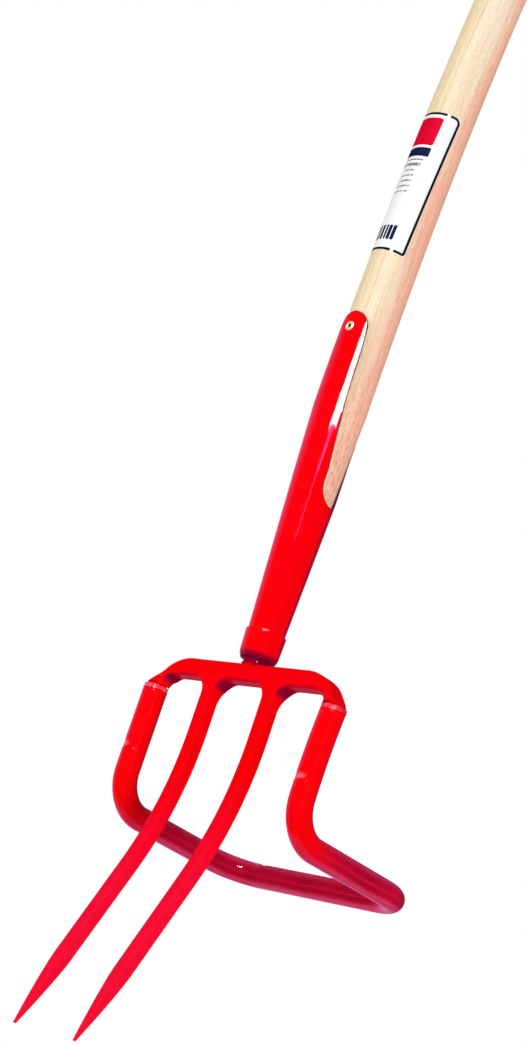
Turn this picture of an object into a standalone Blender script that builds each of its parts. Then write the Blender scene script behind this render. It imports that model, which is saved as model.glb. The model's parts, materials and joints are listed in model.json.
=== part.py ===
"""A weeding fork: a two-tined forging on a socketed ash handle, with a bent tube behind it as a lever.

Metres, +Z up along the socket, -Y the front, to which the tines curve, +X across the head.
The origin lies at mid height of the crossbar, in the middle plane of the tines.
The crossbar is thicker than the tines and flush with them in front, and the socket's axis lies further back.
Run with: blender --background --python part.py
"""

import bmesh
import bpy
from math import asin, cos, pi, radians, sin, sqrt, tan
from mathutils import Matrix, Vector

MM = 0.001

# Everything below is in millimetres.
CLEARANCE = 0.3

# The forging: a flat bar with shoulders, two tines and two stubs.
BAR_THICKNESS = 16.0
BAR_HEIGHT = 14.0
EDGE_ROUNDING = 2.5
TINE_SPACING = 62.0
TINE_WIDTH = 11.5
TINE_DROP = 283.0
TINE_STRAIGHT = 39.0
TINE_BEND_RADIUS = 300.0
TINE_BEND_ANGLE = radians(22.3)
TINE_POINT_LENGTH = 54.0
TINE_POINT_RADIUS = 0.9
TINE_THINNING = 0.93
BACK_TAPER_DROP = 6.0
FILLET_RADIUS = 13.0
OPENING_CROWN = 0.4
SHOULDER_SLOPE = radians(48.0)
SHOULDER_DROP = 10.2
# The right shoulder is forged fuller than the left one.
SHOULDER_RADIUS_LEFT = 31.0
SHOULDER_RADIUS_RIGHT = 36.0
SHOULDER_OVERHANG_LEFT = 4.2
SHOULDER_OVERHANG_RIGHT = 7.3
STUB_LENGTH = 24.0
STUB_ROOT = 0.8

# The lever's tube.
LEG_SPACING = 180.0
TUBE_RADIUS = 9.5
TUBE_WALL = 2.0
LEG_LENGTH = 64.0
# The right leg stands further out towards its top.
LEG_SPLAY = 3.0
SPLAY_HEIGHT = 60.0
BEND_RADIUS = 30.0
BEND_ANGLE = radians(88.0)
ARM_LENGTH = 86.0
CORNER_RADIUS = 30.0
WELD_HEIGHT = 3.0
WELD_BULGE = 0.6
WELD_SHRINK = 1.2

# The socket, its ferrule and its straps. Its axis stands behind the tines' middle plane.
SOCKET_SET_BACK = 4.8
SOCKET_FOOT_RISE = 5.0
SOCKET_FOOT_RADIUS = 13.4
SOCKET_TAPER = 0.0417
SOCKET_WALL = 1.8
SLOT_FOOT_HEIGHT = 128.0
STRAP_LENGTH = 163.0
SLOT_FOOT_RADIUS = 11.5
STRAP_TIP_RADIUS = 14.0
REAR_TONGUE_LENGTH = 73.0
REAR_TIP_RADIUS = 16.0
# Half the strap's width as the front view shows it, at heights above the slot's foot.
STRAP_HALF_WIDTHS = ((31.0, 16.1), (71.0, 15.8), (97.0, 15.1), (131.0, 14.6))
FERRULE_HEIGHT = 22.0
FERRULE_WALL = 1.1
NECK_HEIGHT = 28.0
NECK_WAIST_RADIUS = 7.0
NECK_ROOT_DEPTH = 4.0
NECK_CHAMFER = 1.5
NECK_WELD_WIDTH = 2.6
NECK_WELD_LIP = 0.8

# The handle.
HANDLE_RADIUS = 20.0
HANDLE_LENGTH = 1090.0
HANDLE_END_ROUNDING = 14.0
HANDLE_STRAIGHT = 120.0
HANDLE_BOW_RADIUS = 4250.0
HANDLE_BOW_LENGTH = 540.0

# The rivet through the front strap and the handle.
RIVET_BELOW_TIP = 14.0
RIVET_SHANK_RADIUS = 2.6
RIVET_HEAD_RADIUS = 4.0
RIVET_HEAD_HEIGHT = 0.9
RIVET_BORE_RADIUS = 1.5
RIVET_BORE_DEPTH = 7.0
RIVET_BORE_FLARE = 0.5

# The paper label.
LABEL_HEIGHT = 130.0
LABEL_WIDTH = 48.0
LABEL_THICKNESS = 0.2
LABEL_ABOVE_STRAP = 57.0
LABEL_TURN = radians(3.0)

# Sizes that follow from the ones above.
BAR_TOP = BAR_HEIGHT / 2
BAR_UNDERSIDE = -BAR_HEIGHT / 2
BAR_MIDDLE_Y = (BAR_THICKNESS - TINE_WIDTH) / 2
TINE_X = TINE_SPACING / 2
LEG_X = LEG_SPACING / 2
BEND_START_Z = BAR_UNDERSIDE - TINE_STRAIGHT
TINE_TIP_Z = BAR_UNDERSIDE - TINE_DROP
STUB_RADIUS = TUBE_RADIUS - TUBE_WALL - CLEARANCE
SHOULDER_FOOT_Z = BAR_UNDERSIDE - SHOULDER_DROP
TUBE_TOP_Z = SHOULDER_FOOT_Z - WELD_HEIGHT - 2 * CLEARANCE
SPLAY_START_Z = SHOULDER_FOOT_Z - SPLAY_HEIGHT
SOCKET_FOOT_Z = BAR_TOP + SOCKET_FOOT_RISE
STRAP_RADIUS = HANDLE_RADIUS + CLEARANCE + SOCKET_WALL
SLOT_FOOT_Z = BAR_TOP + SLOT_FOOT_HEIGHT
STRAP_TIP_Z = SLOT_FOOT_Z + STRAP_LENGTH
REAR_TIP_Z = SLOT_FOOT_Z + REAR_TONGUE_LENGTH
RIVET_Z = STRAP_TIP_Z - RIVET_BELOW_TIP
NECK_TOP_Z = SOCKET_FOOT_Z + NECK_HEIGHT
HANDLE_FOOT_Z = NECK_TOP_Z + 4 * CLEARANCE
HANDLE_TOP_Z = HANDLE_FOOT_Z + HANDLE_LENGTH
BOW_START_Z = HANDLE_FOOT_Z + HANDLE_STRAIGHT
BOW_ANGLE = HANDLE_BOW_LENGTH / HANDLE_BOW_RADIUS

PAINT = ("red_paint", (0.80, 0.0, 0.006), 0.0, 0.22)
ASH = ("ash_wood", (0.90, 0.74, 0.52), 0.0, 0.42)
RIVET_STEEL = ("rivet_steel", (0.83, 0.74, 0.55), 1.0, 0.32)
PAPER = ("label_paper", (0.93, 0.93, 0.93), 0.0, 0.45)


def clear_scene():
    """Remove what a new file holds and start two collections."""
    for item in list(bpy.data.objects):
        bpy.data.objects.remove(item, do_unlink=True)
    made = []
    for name in ("weeding_fork", "cutters"):
        group = bpy.data.collections.new(name)
        bpy.context.scene.collection.children.link(group)
        made.append(group)
    return made


PARTS, CUTTERS = clear_scene()


def material(finish):
    name, colour, metallic, roughness = finish
    made = bpy.data.materials.get(name)
    if made is None:
        made = bpy.data.materials.new(name)
        made.use_nodes = True
        shader = made.node_tree.nodes["Principled BSDF"]
        shader.inputs["Base Color"].default_value = (*colour, 1.0)
        shader.inputs["Metallic"].default_value = metallic
        shader.inputs["Roughness"].default_value = roughness
    return made


def place(item, group):
    """Link an object to one collection; a cutter is drawn as wire and left out of renders."""
    for owner in list(item.users_collection):
        owner.objects.unlink(item)
    group.objects.link(item)
    if group is CUTTERS:
        item.hide_render = True
        item.display_type = "WIRE"
    return item


def new_mesh(name, shape, group):
    mesh = bpy.data.meshes.new(name)
    shape.to_mesh(mesh)
    shape.free()
    return place(bpy.data.objects.new(name, mesh), group)


def baked(item):
    """Replace an object by a plain mesh of its evaluated shape, in world coordinates."""
    bpy.context.view_layer.update()
    evaluated = item.evaluated_get(bpy.context.evaluated_depsgraph_get())
    mesh = bpy.data.meshes.new_from_object(evaluated)
    mesh.transform(item.matrix_world)
    name = item.name
    group = item.users_collection[0]
    bpy.data.objects.remove(item, do_unlink=True)
    shape = bmesh.new()
    shape.from_mesh(mesh)
    bpy.data.meshes.remove(mesh)
    bmesh.ops.remove_doubles(shape, verts=shape.verts[:], dist=0.002 * MM)
    return new_mesh(name, shape, group)


def tube(name, path, radii, group, sides_resolution=4):
    """A round bar along a list of points in millimetres, with a radius for each point."""
    curve = bpy.data.curves.new(name, "CURVE")
    curve.dimensions = "3D"
    curve.use_fill_caps = True
    curve.bevel_depth = MM
    curve.bevel_resolution = sides_resolution
    curve.twist_mode = "MINIMUM"
    line = curve.splines.new("POLY")
    line.points.add(len(path) - 1)
    for point, spot, radius in zip(line.points, path, radii):
        point.co = (*(Vector(spot) * MM), 1.0)
        point.radius = radius
    return baked(place(bpy.data.objects.new(name, curve), group))


def flat_plate(name, outline, thickness, group):
    """A closed outline of (x, z) points in millimetres, as a plate centred on y = 0."""
    curve = bpy.data.curves.new(name, "CURVE")
    curve.dimensions = "2D"
    curve.fill_mode = "BOTH"
    curve.extrude = thickness / 2 * MM
    line = curve.splines.new("POLY")
    line.points.add(len(outline) - 1)
    for point, (x, z) in zip(line.points, outline):
        point.co = (x * MM, z * MM, 0.0, 1.0)
    line.use_cyclic_u = True
    item = place(bpy.data.objects.new(name, curve), group)
    item.rotation_euler = (pi / 2, 0.0, 0.0)
    return baked(item)


def turned(name, profile, steps, group, closed=True, turn_to_y=False):
    """Turn (radius, height) points in millimetres about Z; the outer side runs from top to bottom.

    A closed profile makes a ring. An open one starts and ends on the axis.
    """
    shape = bmesh.new()
    verts = [shape.verts.new((radius * MM, 0.0, height * MM)) for radius, height in profile]
    for first, second in zip(verts, verts[1:]):
        shape.edges.new((first, second))
    if closed:
        shape.edges.new((verts[-1], verts[0]))
    item = new_mesh(name, shape, group)
    screw = item.modifiers.new("Screw", "SCREW")
    screw.steps = steps
    screw.render_steps = steps
    screw.use_merge_vertices = True
    screw.merge_threshold = 0.005 * MM
    if turn_to_y:
        item.rotation_euler = (pi / 2, 0.0, 0.0)
    return baked(item)


def combine(item, other, operation):
    """Join or cut an object with another, which stays behind as a wire guide."""
    change = item.modifiers.new(f"{operation.title()} {other.name}", "BOOLEAN")
    change.operation = operation
    change.solver = "EXACT"
    change.object = other


def finish(item, paint, crease=35.0):
    item.data.materials.append(material(paint))
    item.data.shade_smooth()
    item.data.set_sharp_from_angle(angle=radians(crease))
    return item


def arc(centre_x, centre_z, radius, start, end, steps):
    """Points of an arc in the XZ plane; angles in radians from +X towards +Z."""
    points = []
    for step in range(steps + 1):
        angle = start + (end - start) * step / steps
        points.append((centre_x + radius * cos(angle), centre_z + radius * sin(angle)))
    return points


def bow(z):
    """How far back the axis of the socket and handle lies at a height, and its slope there."""
    if z <= BOW_START_Z:
        return SOCKET_SET_BACK, 0.0
    end_z = BOW_START_Z + HANDLE_BOW_RADIUS * sin(BOW_ANGLE)
    angle = asin(min(z - BOW_START_Z, end_z - BOW_START_Z) / HANDLE_BOW_RADIUS)
    back = SOCKET_SET_BACK + HANDLE_BOW_RADIUS * (1 - cos(angle))
    if z > end_z:
        back += (z - end_z) * tan(angle)
    return back, angle


def follow_bow(item):
    """Shift a mesh that was made upright so that it follows the axis of the socket and handle."""
    for vert in item.data.vertices:
        back, _ = bow(vert.co.z / MM)
        vert.co.y += back * MM
    return item


def follow_neck(item):
    """Shift a mesh that was made upright so that it follows the neck, cranked from the bar to the socket."""
    for vert in item.data.vertices:
        share = (vert.co.z / MM - BAR_TOP) / (SOCKET_FOOT_Z - CLEARANCE - BAR_TOP)
        back = BAR_MIDDLE_Y + (SOCKET_SET_BACK - BAR_MIDDLE_Y) * min(max(share, 0.0), 1.0)
        vert.co.y += back * MM
    return item


def splay_right(item):
    """Lean the right leg outwards towards its top, with every level section kept as it is."""
    for vert in item.data.vertices:
        if vert.co.x > 0:
            share = max(vert.co.z / MM - SPLAY_START_Z, 0.0) / SPLAY_HEIGHT
            vert.co.x += LEG_SPLAY * share**2 * MM
    return item


def socket_radius(z):
    """The socket's outer radius: a cone that grows until it clears the handle."""
    return min(SOCKET_FOOT_RADIUS + SOCKET_TAPER * (z - SOCKET_FOOT_Z), STRAP_RADIUS)


def handle_radius(z):
    """The handle's own radius: turned down where it sits in the socket, rounded at its end."""
    below_top = HANDLE_TOP_Z - z
    if below_top < HANDLE_END_ROUNDING:
        inset = HANDLE_END_ROUNDING - sqrt(HANDLE_END_ROUNDING**2 - (HANDLE_END_ROUNDING - below_top) ** 2)
        return HANDLE_RADIUS - inset
    return min(socket_radius(z) - SOCKET_WALL - CLEARANCE, HANDLE_RADIUS)


CONE_END_Z = SOCKET_FOOT_Z + (STRAP_RADIUS - SOCKET_FOOT_RADIUS) / SOCKET_TAPER


def steps_between(start, end, count):
    return [start + (end - start) * step / count for step in range(count + 1)]


def make_handle():
    heights = steps_between(HANDLE_FOOT_Z, CONE_END_Z, 10)
    heights += steps_between(CONE_END_Z, HANDLE_TOP_Z - HANDLE_END_ROUNDING, 40)[1:]
    rounding = [HANDLE_END_ROUNDING * (1 - cos(angle)) for angle in steps_between(pi / 2, 0.0, 6)]
    heights += [HANDLE_TOP_Z - below for below in rounding[1:]]
    path = [(0.0, bow(z)[0], z) for z in heights]
    handle = tube("handle", path, [handle_radius(z) for z in heights], PARTS, 10)
    hole = turned(
        "rivet_hole",
        [(0.0, 2 * STRAP_RADIUS), (RIVET_SHANK_RADIUS + CLEARANCE, 2 * STRAP_RADIUS),
         (RIVET_SHANK_RADIUS + CLEARANCE, -2 * STRAP_RADIUS), (0.0, -2 * STRAP_RADIUS)],
        16, CUTTERS, closed=False, turn_to_y=True)
    for vert in hole.data.vertices:
        vert.co.y += bow(RIVET_Z)[0] * MM
        vert.co.z += RIVET_Z * MM
    combine(handle, hole, "DIFFERENCE")
    return finish(handle, ASH), hole


def strap_outline():
    """Front view of what stays of the socket: its whole foot, then the straps' outline."""
    wide = 2 * STRAP_RADIUS
    right = [(wide, SOCKET_FOOT_Z - CLEARANCE), (wide, SLOT_FOOT_Z)]
    for angle in steps_between(radians(12), pi / 2, 7):
        z = SLOT_FOOT_Z + SLOT_FOOT_RADIUS * (1 - cos(angle))
        round_socket = SLOT_FOOT_RADIUS * sin(angle) / socket_radius(z)
        right.append((socket_radius(z) * cos(round_socket), z))
    right += [(half_width, SLOT_FOOT_Z + rise) for rise, half_width in STRAP_HALF_WIDTHS]
    right += arc(0.0, STRAP_TIP_Z - STRAP_TIP_RADIUS, STRAP_TIP_RADIUS, 0.0, pi / 2, 12)
    left = [(-x, z) for x, z in reversed(right) if x > CLEARANCE]
    return right + left


def rear_trim_outline():
    """Front view of what is cut from the socket's rear half: all but a short round tongue."""
    wide = 2 * STRAP_RADIUS
    tongue = arc(0.0, REAR_TIP_Z - REAR_TIP_RADIUS, REAR_TIP_RADIUS, 0.0, pi, 24)
    above = STRAP_TIP_Z + 10 * CLEARANCE
    return [(wide, above), (wide, tongue[0][1])] + tongue + [(-wide, tongue[-1][1]), (-wide, above)]


def make_socket(hole):
    heights = steps_between(STRAP_TIP_Z + 2, CONE_END_Z, 8) + steps_between(CONE_END_Z, SOCKET_FOOT_Z, 10)[1:]
    outer = [(socket_radius(z), z) for z in heights]
    inner = [(radius - SOCKET_WALL, z) for radius, z in reversed(outer)]
    socket = follow_bow(turned("socket", outer + inner, 40, PARTS))
    keep = flat_plate("strap_outline", strap_outline(), 6 * STRAP_RADIUS, CUTTERS)
    trim_depth = 2 * STRAP_RADIUS
    trim = flat_plate("rear_trim", rear_trim_outline(), trim_depth, CUTTERS)
    trim.data.transform(Matrix.Translation((0.0, (SOCKET_SET_BACK + 2 + trim_depth / 2) * MM, 0.0)))
    combine(socket, keep, "INTERSECT")
    combine(socket, trim, "DIFFERENCE")
    combine(socket, hole, "DIFFERENCE")
    return finish(socket, PAINT)


def make_ferrule():
    low = SOCKET_FOOT_Z + CLEARANCE
    high = low + FERRULE_HEIGHT
    inner_low = socket_radius(low) + CLEARANCE
    inner_high = socket_radius(high) + CLEARANCE
    chamfer = FERRULE_WALL * 0.5
    profile = [
        (inner_high, high),
        (inner_high + FERRULE_WALL - chamfer, high),
        (inner_high + FERRULE_WALL, high - chamfer),
        (inner_low + FERRULE_WALL, low + 2 * chamfer),
        (inner_low + FERRULE_WALL - chamfer, low),
        (inner_low, low),
    ]
    return finish(follow_bow(turned("ferrule", profile, 40, PARTS)), PAINT)


def rivet_end(reach):
    """Half a rivet's profile, from its bore's bottom to its shank, the head bearing at the given reach."""
    end = reach + RIVET_HEAD_HEIGHT
    return [
        (0.0, end - RIVET_BORE_DEPTH),
        (RIVET_BORE_RADIUS, end - RIVET_BORE_DEPTH),
        (RIVET_BORE_RADIUS, end - RIVET_BORE_FLARE),
        (RIVET_BORE_RADIUS + RIVET_BORE_FLARE, end),
        (RIVET_HEAD_RADIUS - 1.5 * RIVET_HEAD_HEIGHT, end),
        (RIVET_HEAD_RADIUS - 0.5 * RIVET_HEAD_HEIGHT, reach + 0.6 * RIVET_HEAD_HEIGHT),
        (RIVET_HEAD_RADIUS, reach),
        (RIVET_SHANK_RADIUS, reach),
    ]


def make_rivet():
    """One tubular rivet along Y: its front head sits on the strap, its rear head on the wood."""
    back = bow(RIVET_Z)[0]
    front = rivet_end(STRAP_RADIUS + CLEARANCE)
    rear = rivet_end(HANDLE_RADIUS + CLEARANCE)
    profile = front + [(radius, -height) for radius, height in reversed(rear)]
    rivet = turned("strap_rivet", profile, 20, PARTS, closed=False, turn_to_y=True)
    for vert in rivet.data.vertices:
        vert.co += Vector((0.0, back, RIVET_Z)) * MM
    return finish(rivet, RIVET_STEEL)


def half_outline(leg_x, shoulder_radius, overhang):
    """Front view of the forging's right half, from the top's middle to the middle opening."""
    outer_x = leg_x + overhang
    arc_drop = shoulder_radius * (1 - cos(SHOULDER_SLOPE))
    slope_run = (BAR_TOP - arc_drop - SHOULDER_FOOT_Z) / tan(SHOULDER_SLOPE)
    shoulder_x = outer_x - slope_run - shoulder_radius * sin(SHOULDER_SLOPE)
    half_tine = TINE_WIDTH / 2
    right = arc(shoulder_x, BAR_TOP - shoulder_radius, shoulder_radius, pi / 2, pi / 2 - SHOULDER_SLOPE, 10)
    right += [(outer_x, SHOULDER_FOOT_Z)]
    fillet_z = BAR_UNDERSIDE - FILLET_RADIUS
    stub_fillet_x = leg_x - TUBE_RADIUS - SHOULDER_DROP
    tine_fillet_x = TINE_X + half_tine + FILLET_RADIUS
    right += arc(stub_fillet_x, BAR_UNDERSIDE - SHOULDER_DROP, SHOULDER_DROP, 0.0, pi / 2, 6)
    right += [((stub_fillet_x + tine_fillet_x) / 2, BAR_UNDERSIDE + OPENING_CROWN)]
    right += arc(tine_fillet_x, fillet_z, FILLET_RADIUS, pi / 2, pi, 7)
    right += [(TINE_X + half_tine, TINE_TIP_Z), (TINE_X - half_tine, TINE_TIP_Z)]
    right += arc(TINE_X - half_tine - FILLET_RADIUS, fillet_z, FILLET_RADIUS, 0.0, pi / 2, 7)
    return right


def head_outline():
    """Front view of the whole forging."""
    right = half_outline(LEG_X + LEG_SPLAY, SHOULDER_RADIUS_RIGHT, SHOULDER_OVERHANG_RIGHT)
    left = half_outline(LEG_X, SHOULDER_RADIUS_LEFT, SHOULDER_OVERHANG_LEFT)
    left = [(-x, z) for x, z in reversed(left)]
    return right + [(0.0, BAR_UNDERSIDE + OPENING_CROWN)] + left


def taper_back(mesh):
    """Bring the back down from the thick bar to the thinner tines, and leave the front flush."""
    start_z = BAR_UNDERSIDE - 1
    end_z = BAR_UNDERSIDE - FILLET_RADIUS - BACK_TAPER_DROP
    reach_x = TINE_X + TINE_WIDTH / 2 + FILLET_RADIUS + 1
    for vert in mesh.vertices:
        share = min(max((start_z - vert.co.z / MM) / (start_z - end_z), 0.0), 1.0)
        ease = share * share * (3 - 2 * share)
        thickness = BAR_THICKNESS
        if abs(vert.co.x) < reach_x * MM:
            thickness += (TINE_WIDTH - BAR_THICKNESS) * ease
        from_front = vert.co.y + BAR_THICKNESS / 2 * MM
        vert.co.y = from_front * thickness / BAR_THICKNESS - TINE_WIDTH / 2 * MM


def thin_tines(mesh):
    """Draw each tine thinner towards its point, round its own straight axis."""
    point_start = TINE_TIP_Z + TINE_POINT_LENGTH
    for vert in mesh.vertices:
        z = vert.co.z / MM
        if z > BEND_START_Z:
            continue
        middle = TINE_X * MM if vert.co.x > 0 else -TINE_X * MM
        if z >= point_start:
            share = (BEND_START_Z - z) / (BEND_START_Z - point_start)
            scale = 1 - (1 - TINE_THINNING) * share
        else:
            share = (point_start - z) / TINE_POINT_LENGTH
            tip_scale = TINE_POINT_RADIUS / (TINE_WIDTH / 2)
            scale = TINE_THINNING + (tip_scale - TINE_THINNING) * share**1.35
        vert.co.x = middle + (vert.co.x - middle) * scale
        vert.co.y *= scale


def bend_tines(mesh):
    """Bend both tines forwards, keeping each cross-section square to the bent axis."""
    arc_length = TINE_BEND_RADIUS * TINE_BEND_ANGLE
    stretch = tine_length() / (BEND_START_Z - TINE_TIP_Z)
    for vert in mesh.vertices:
        z = vert.co.z / MM
        if z >= BEND_START_Z:
            continue
        along = (BEND_START_Z - z) * stretch
        angle = min(along, arc_length) / TINE_BEND_RADIUS
        straight = max(along - arc_length, 0.0)
        y = -TINE_BEND_RADIUS * (1 - cos(angle)) - straight * sin(angle)
        z = BEND_START_Z - TINE_BEND_RADIUS * sin(angle) - straight * cos(angle)
        offset = vert.co.y
        vert.co.y = y * MM + offset * cos(angle)
        vert.co.z = z * MM - offset * sin(angle)


def tine_length():
    """Length along a tine's axis from the start of its bend, so that its point ends at the given drop."""
    below = BEND_START_Z - TINE_TIP_Z
    straight = (below - TINE_BEND_RADIUS * sin(TINE_BEND_ANGLE)) / cos(TINE_BEND_ANGLE)
    return TINE_BEND_RADIUS * TINE_BEND_ANGLE + straight


def make_head():
    head = flat_plate("fork_head", head_outline(), BAR_THICKNESS, PARTS)
    shape = bmesh.new()
    shape.from_mesh(head.data)
    bmesh.ops.dissolve_limit(shape, angle_limit=radians(0.5), verts=shape.verts[:], edges=shape.edges[:])
    rim = [edge for edge in shape.edges if len(edge.link_faces) == 2 and edge.calc_face_angle() > radians(60)
           and abs(edge.verts[0].co.y - edge.verts[1].co.y) < 0.1 * MM]
    bmesh.ops.bevel(shape, geom=rim, offset=EDGE_ROUNDING * MM, segments=3, profile=0.5, affect="EDGES",
                    clamp_overlap=False)
    slices = steps_between(BAR_UNDERSIDE - 1, BAR_UNDERSIDE - FILLET_RADIUS - BACK_TAPER_DROP, 5)
    slices += steps_between(BEND_START_Z, TINE_TIP_Z + 6, 26)
    for z in slices:
        bmesh.ops.bisect_plane(shape, geom=shape.verts[:] + shape.edges[:] + shape.faces[:],
                               plane_co=(0.0, 0.0, z * MM), plane_no=(0.0, 0.0, 1.0), dist=1e-7)
    shape.to_mesh(head.data)
    shape.free()
    taper_back(head.data)
    thin_tines(head.data)
    bend_tines(head.data)

    neck_top_radius = socket_radius(SOCKET_FOOT_Z) - SOCKET_WALL - CLEARANCE
    waist_z = BAR_TOP - NECK_ROOT_DEPTH
    neck = follow_neck(turned(
        "neck_shape",
        [(0.0, NECK_TOP_Z), (neck_top_radius - NECK_CHAMFER, NECK_TOP_Z),
         (neck_top_radius, NECK_TOP_Z - NECK_CHAMFER),
         (neck_top_radius, SOCKET_FOOT_Z - CLEARANCE), (NECK_WAIST_RADIUS, BAR_TOP + CLEARANCE),
         (NECK_WAIST_RADIUS, waist_z), (0.0, waist_z)],
        32, CUTTERS, closed=False))
    combine(head, neck, "UNION")
    for side in (-1, 1):
        stub_foot = SHOULDER_FOOT_Z - STUB_LENGTH
        heights = steps_between(SHOULDER_FOOT_Z + STUB_ROOT, stub_foot + NECK_CHAMFER, 4) + [stub_foot]
        path = [(side * LEG_X, 0.0, z) for z in heights]
        radii = [STUB_RADIUS] * (len(path) - 1) + [STUB_RADIUS - NECK_CHAMFER]
        name = "stub_shape_right" if side > 0 else "stub_shape_left"
        combine(head, splay_right(tube(name, path, radii, CUTTERS, 6)), "UNION")
    return finish(head, PAINT)


def lever_path(overshoot=0.0):
    """The tube's centre line: down, back, across and forwards and up again."""
    leg_foot = TUBE_TOP_Z - LEG_LENGTH
    side = [Vector((LEG_X, 0.0, z)) for z in steps_between(TUBE_TOP_Z, leg_foot, 6)]
    if overshoot:
        side.insert(0, Vector((LEG_X, 0.0, TUBE_TOP_Z + overshoot)))
    for angle in steps_between(0.0, BEND_ANGLE, 12)[1:]:
        side.append(Vector((LEG_X, BEND_RADIUS * (1 - cos(angle)), leg_foot - BEND_RADIUS * sin(angle))))
    along = Vector((0.0, sin(BEND_ANGLE), -cos(BEND_ANGLE)))
    corner = side[-1] + along * ARM_LENGTH
    side.append(corner)
    for angle in steps_between(0.0, pi / 2, 12)[1:]:
        inward = Vector((-1.0, 0.0, 0.0)) * CORNER_RADIUS * (1 - cos(angle))
        side.append(corner + along * CORNER_RADIUS * sin(angle) + inward)
    mirrored = [Vector((-spot.x, spot.y, spot.z)) for spot in reversed(side)]
    return side + mirrored


def make_lever():
    path = lever_path()
    lever = splay_right(tube("lever_tube", path, [TUBE_RADIUS] * len(path), PARTS, 8))
    bore_path = lever_path(overshoot=WELD_HEIGHT)
    bore = splay_right(tube("tube_bore", bore_path, [TUBE_RADIUS - TUBE_WALL] * len(bore_path), CUTTERS, 6))
    combine(lever, bore, "DIFFERENCE")
    return finish(lever, PAINT)


def make_weld(name, side):
    """The bead that fills the step from the tube's end to the forging's shoulder."""
    low = TUBE_TOP_Z + CLEARANCE
    high = SHOULDER_FOOT_Z - CLEARANCE
    inner = STUB_RADIUS + CLEARANCE
    middle = (low + high) / 2
    profile = [(inner, high), (TUBE_RADIUS - WELD_SHRINK, high), (TUBE_RADIUS + 0.3 * WELD_BULGE, middle + WELD_BULGE),
               (TUBE_RADIUS + WELD_BULGE, middle - 0.5 * WELD_BULGE), (TUBE_RADIUS, low), (inner, low)]
    weld = turned(name, profile, 28, PARTS)
    for vert in weld.data.vertices:
        vert.co.x += side * LEG_X * MM
    return finish(splay_right(weld), PAINT)


def make_neck_weld():
    """The bead between the crossbar's top and the ferrule, round the neck's waist."""
    low = BAR_TOP + CLEARANCE
    high = SOCKET_FOOT_Z - CLEARANCE
    slope = (socket_radius(SOCKET_FOOT_Z) - SOCKET_WALL - CLEARANCE - NECK_WAIST_RADIUS)
    slope /= SOCKET_FOOT_Z - BAR_TOP - 2 * CLEARANCE
    inner_low = NECK_WAIST_RADIUS + 1.6 * CLEARANCE
    middle = low + 0.6 * (high - low)
    inner_middle = NECK_WAIST_RADIUS + slope * (middle - low) + 1.6 * CLEARANCE
    profile = [(inner_middle, middle), (inner_middle + NECK_WELD_LIP, middle),
               (inner_middle + 0.4 * NECK_WELD_LIP, middle - NECK_WELD_LIP),
               (inner_low + NECK_WELD_WIDTH, low + 0.6 * NECK_WELD_LIP),
               (inner_low + NECK_WELD_WIDTH - NECK_WELD_LIP, low), (inner_low, low)]
    return finish(follow_neck(turned("neck_weld", profile, 32, PARTS)), PAINT)


def make_label():
    """A thin sheet wrapped round the front of the handle."""
    radius = HANDLE_RADIUS + CLEARANCE
    low = STRAP_TIP_Z + LABEL_ABOVE_STRAP
    columns = 14
    rows = 8
    shape = bmesh.new()
    bmesh.ops.create_grid(shape, x_segments=columns, y_segments=rows, size=0.5)
    for vert in shape.verts:
        angle = vert.co.x * LABEL_WIDTH / radius + LABEL_TURN
        z = low + (vert.co.y + 0.5) * LABEL_HEIGHT
        back = bow(z)[0]
        vert.co = Vector((radius * sin(angle), back - radius * cos(angle), z)) * MM
    bmesh.ops.recalc_face_normals(shape, faces=shape.faces[:])
    label = new_mesh("label", shape, PARTS)
    wall = label.modifiers.new("Solidify", "SOLIDIFY")
    wall.thickness = LABEL_THICKNESS * MM
    wall.offset = 1.0
    return finish(label, PAPER)


handle_object, rivet_hole = make_handle()
make_socket(rivet_hole)
make_ferrule()
make_rivet()
make_head()
make_neck_weld()
make_lever()
make_weld("weld_left", -1)
make_weld("weld_right", 1)
make_label()
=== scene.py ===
# %% [markdown]
# A weeding fork has two curved tines on a crossbar and a bent steel tube behind them. The tines go down
# beside the root, the handle is pulled back, and the tube rolls on the ground as the fulcrum. The packed
# model gives every piece's place and size. This lesson gives each piece the surface that a maker would see
# on it: gloss paint over forged steel, weld beads, a rolled socket, lacquered ash and a paper label.

import json
from math import asin, atan2, cos, pi, radians, sin, sqrt, tan

import bmesh
import bpy
from mathutils import Matrix, Vector, noise

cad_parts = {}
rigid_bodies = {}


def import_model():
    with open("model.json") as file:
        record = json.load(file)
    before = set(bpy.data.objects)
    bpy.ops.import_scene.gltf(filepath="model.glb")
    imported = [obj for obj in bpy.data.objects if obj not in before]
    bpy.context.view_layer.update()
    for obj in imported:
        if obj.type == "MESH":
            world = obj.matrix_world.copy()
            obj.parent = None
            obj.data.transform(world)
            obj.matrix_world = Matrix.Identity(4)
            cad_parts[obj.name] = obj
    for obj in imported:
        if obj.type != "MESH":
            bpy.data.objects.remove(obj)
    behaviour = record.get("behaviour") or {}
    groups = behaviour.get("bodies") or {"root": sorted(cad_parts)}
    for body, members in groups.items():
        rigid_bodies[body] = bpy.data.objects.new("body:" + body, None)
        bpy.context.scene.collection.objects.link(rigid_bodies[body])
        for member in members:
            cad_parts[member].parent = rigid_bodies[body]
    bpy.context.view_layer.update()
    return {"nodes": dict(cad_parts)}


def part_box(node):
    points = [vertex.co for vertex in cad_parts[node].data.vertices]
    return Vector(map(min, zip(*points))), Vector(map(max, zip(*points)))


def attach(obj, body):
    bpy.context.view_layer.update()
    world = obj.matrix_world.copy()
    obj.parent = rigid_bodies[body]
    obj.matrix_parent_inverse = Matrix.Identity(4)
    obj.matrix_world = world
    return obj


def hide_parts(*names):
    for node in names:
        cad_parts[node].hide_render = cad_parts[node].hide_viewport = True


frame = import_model()
MM = 0.001
print("nodes:", ", ".join(sorted(frame["nodes"])))

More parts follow.
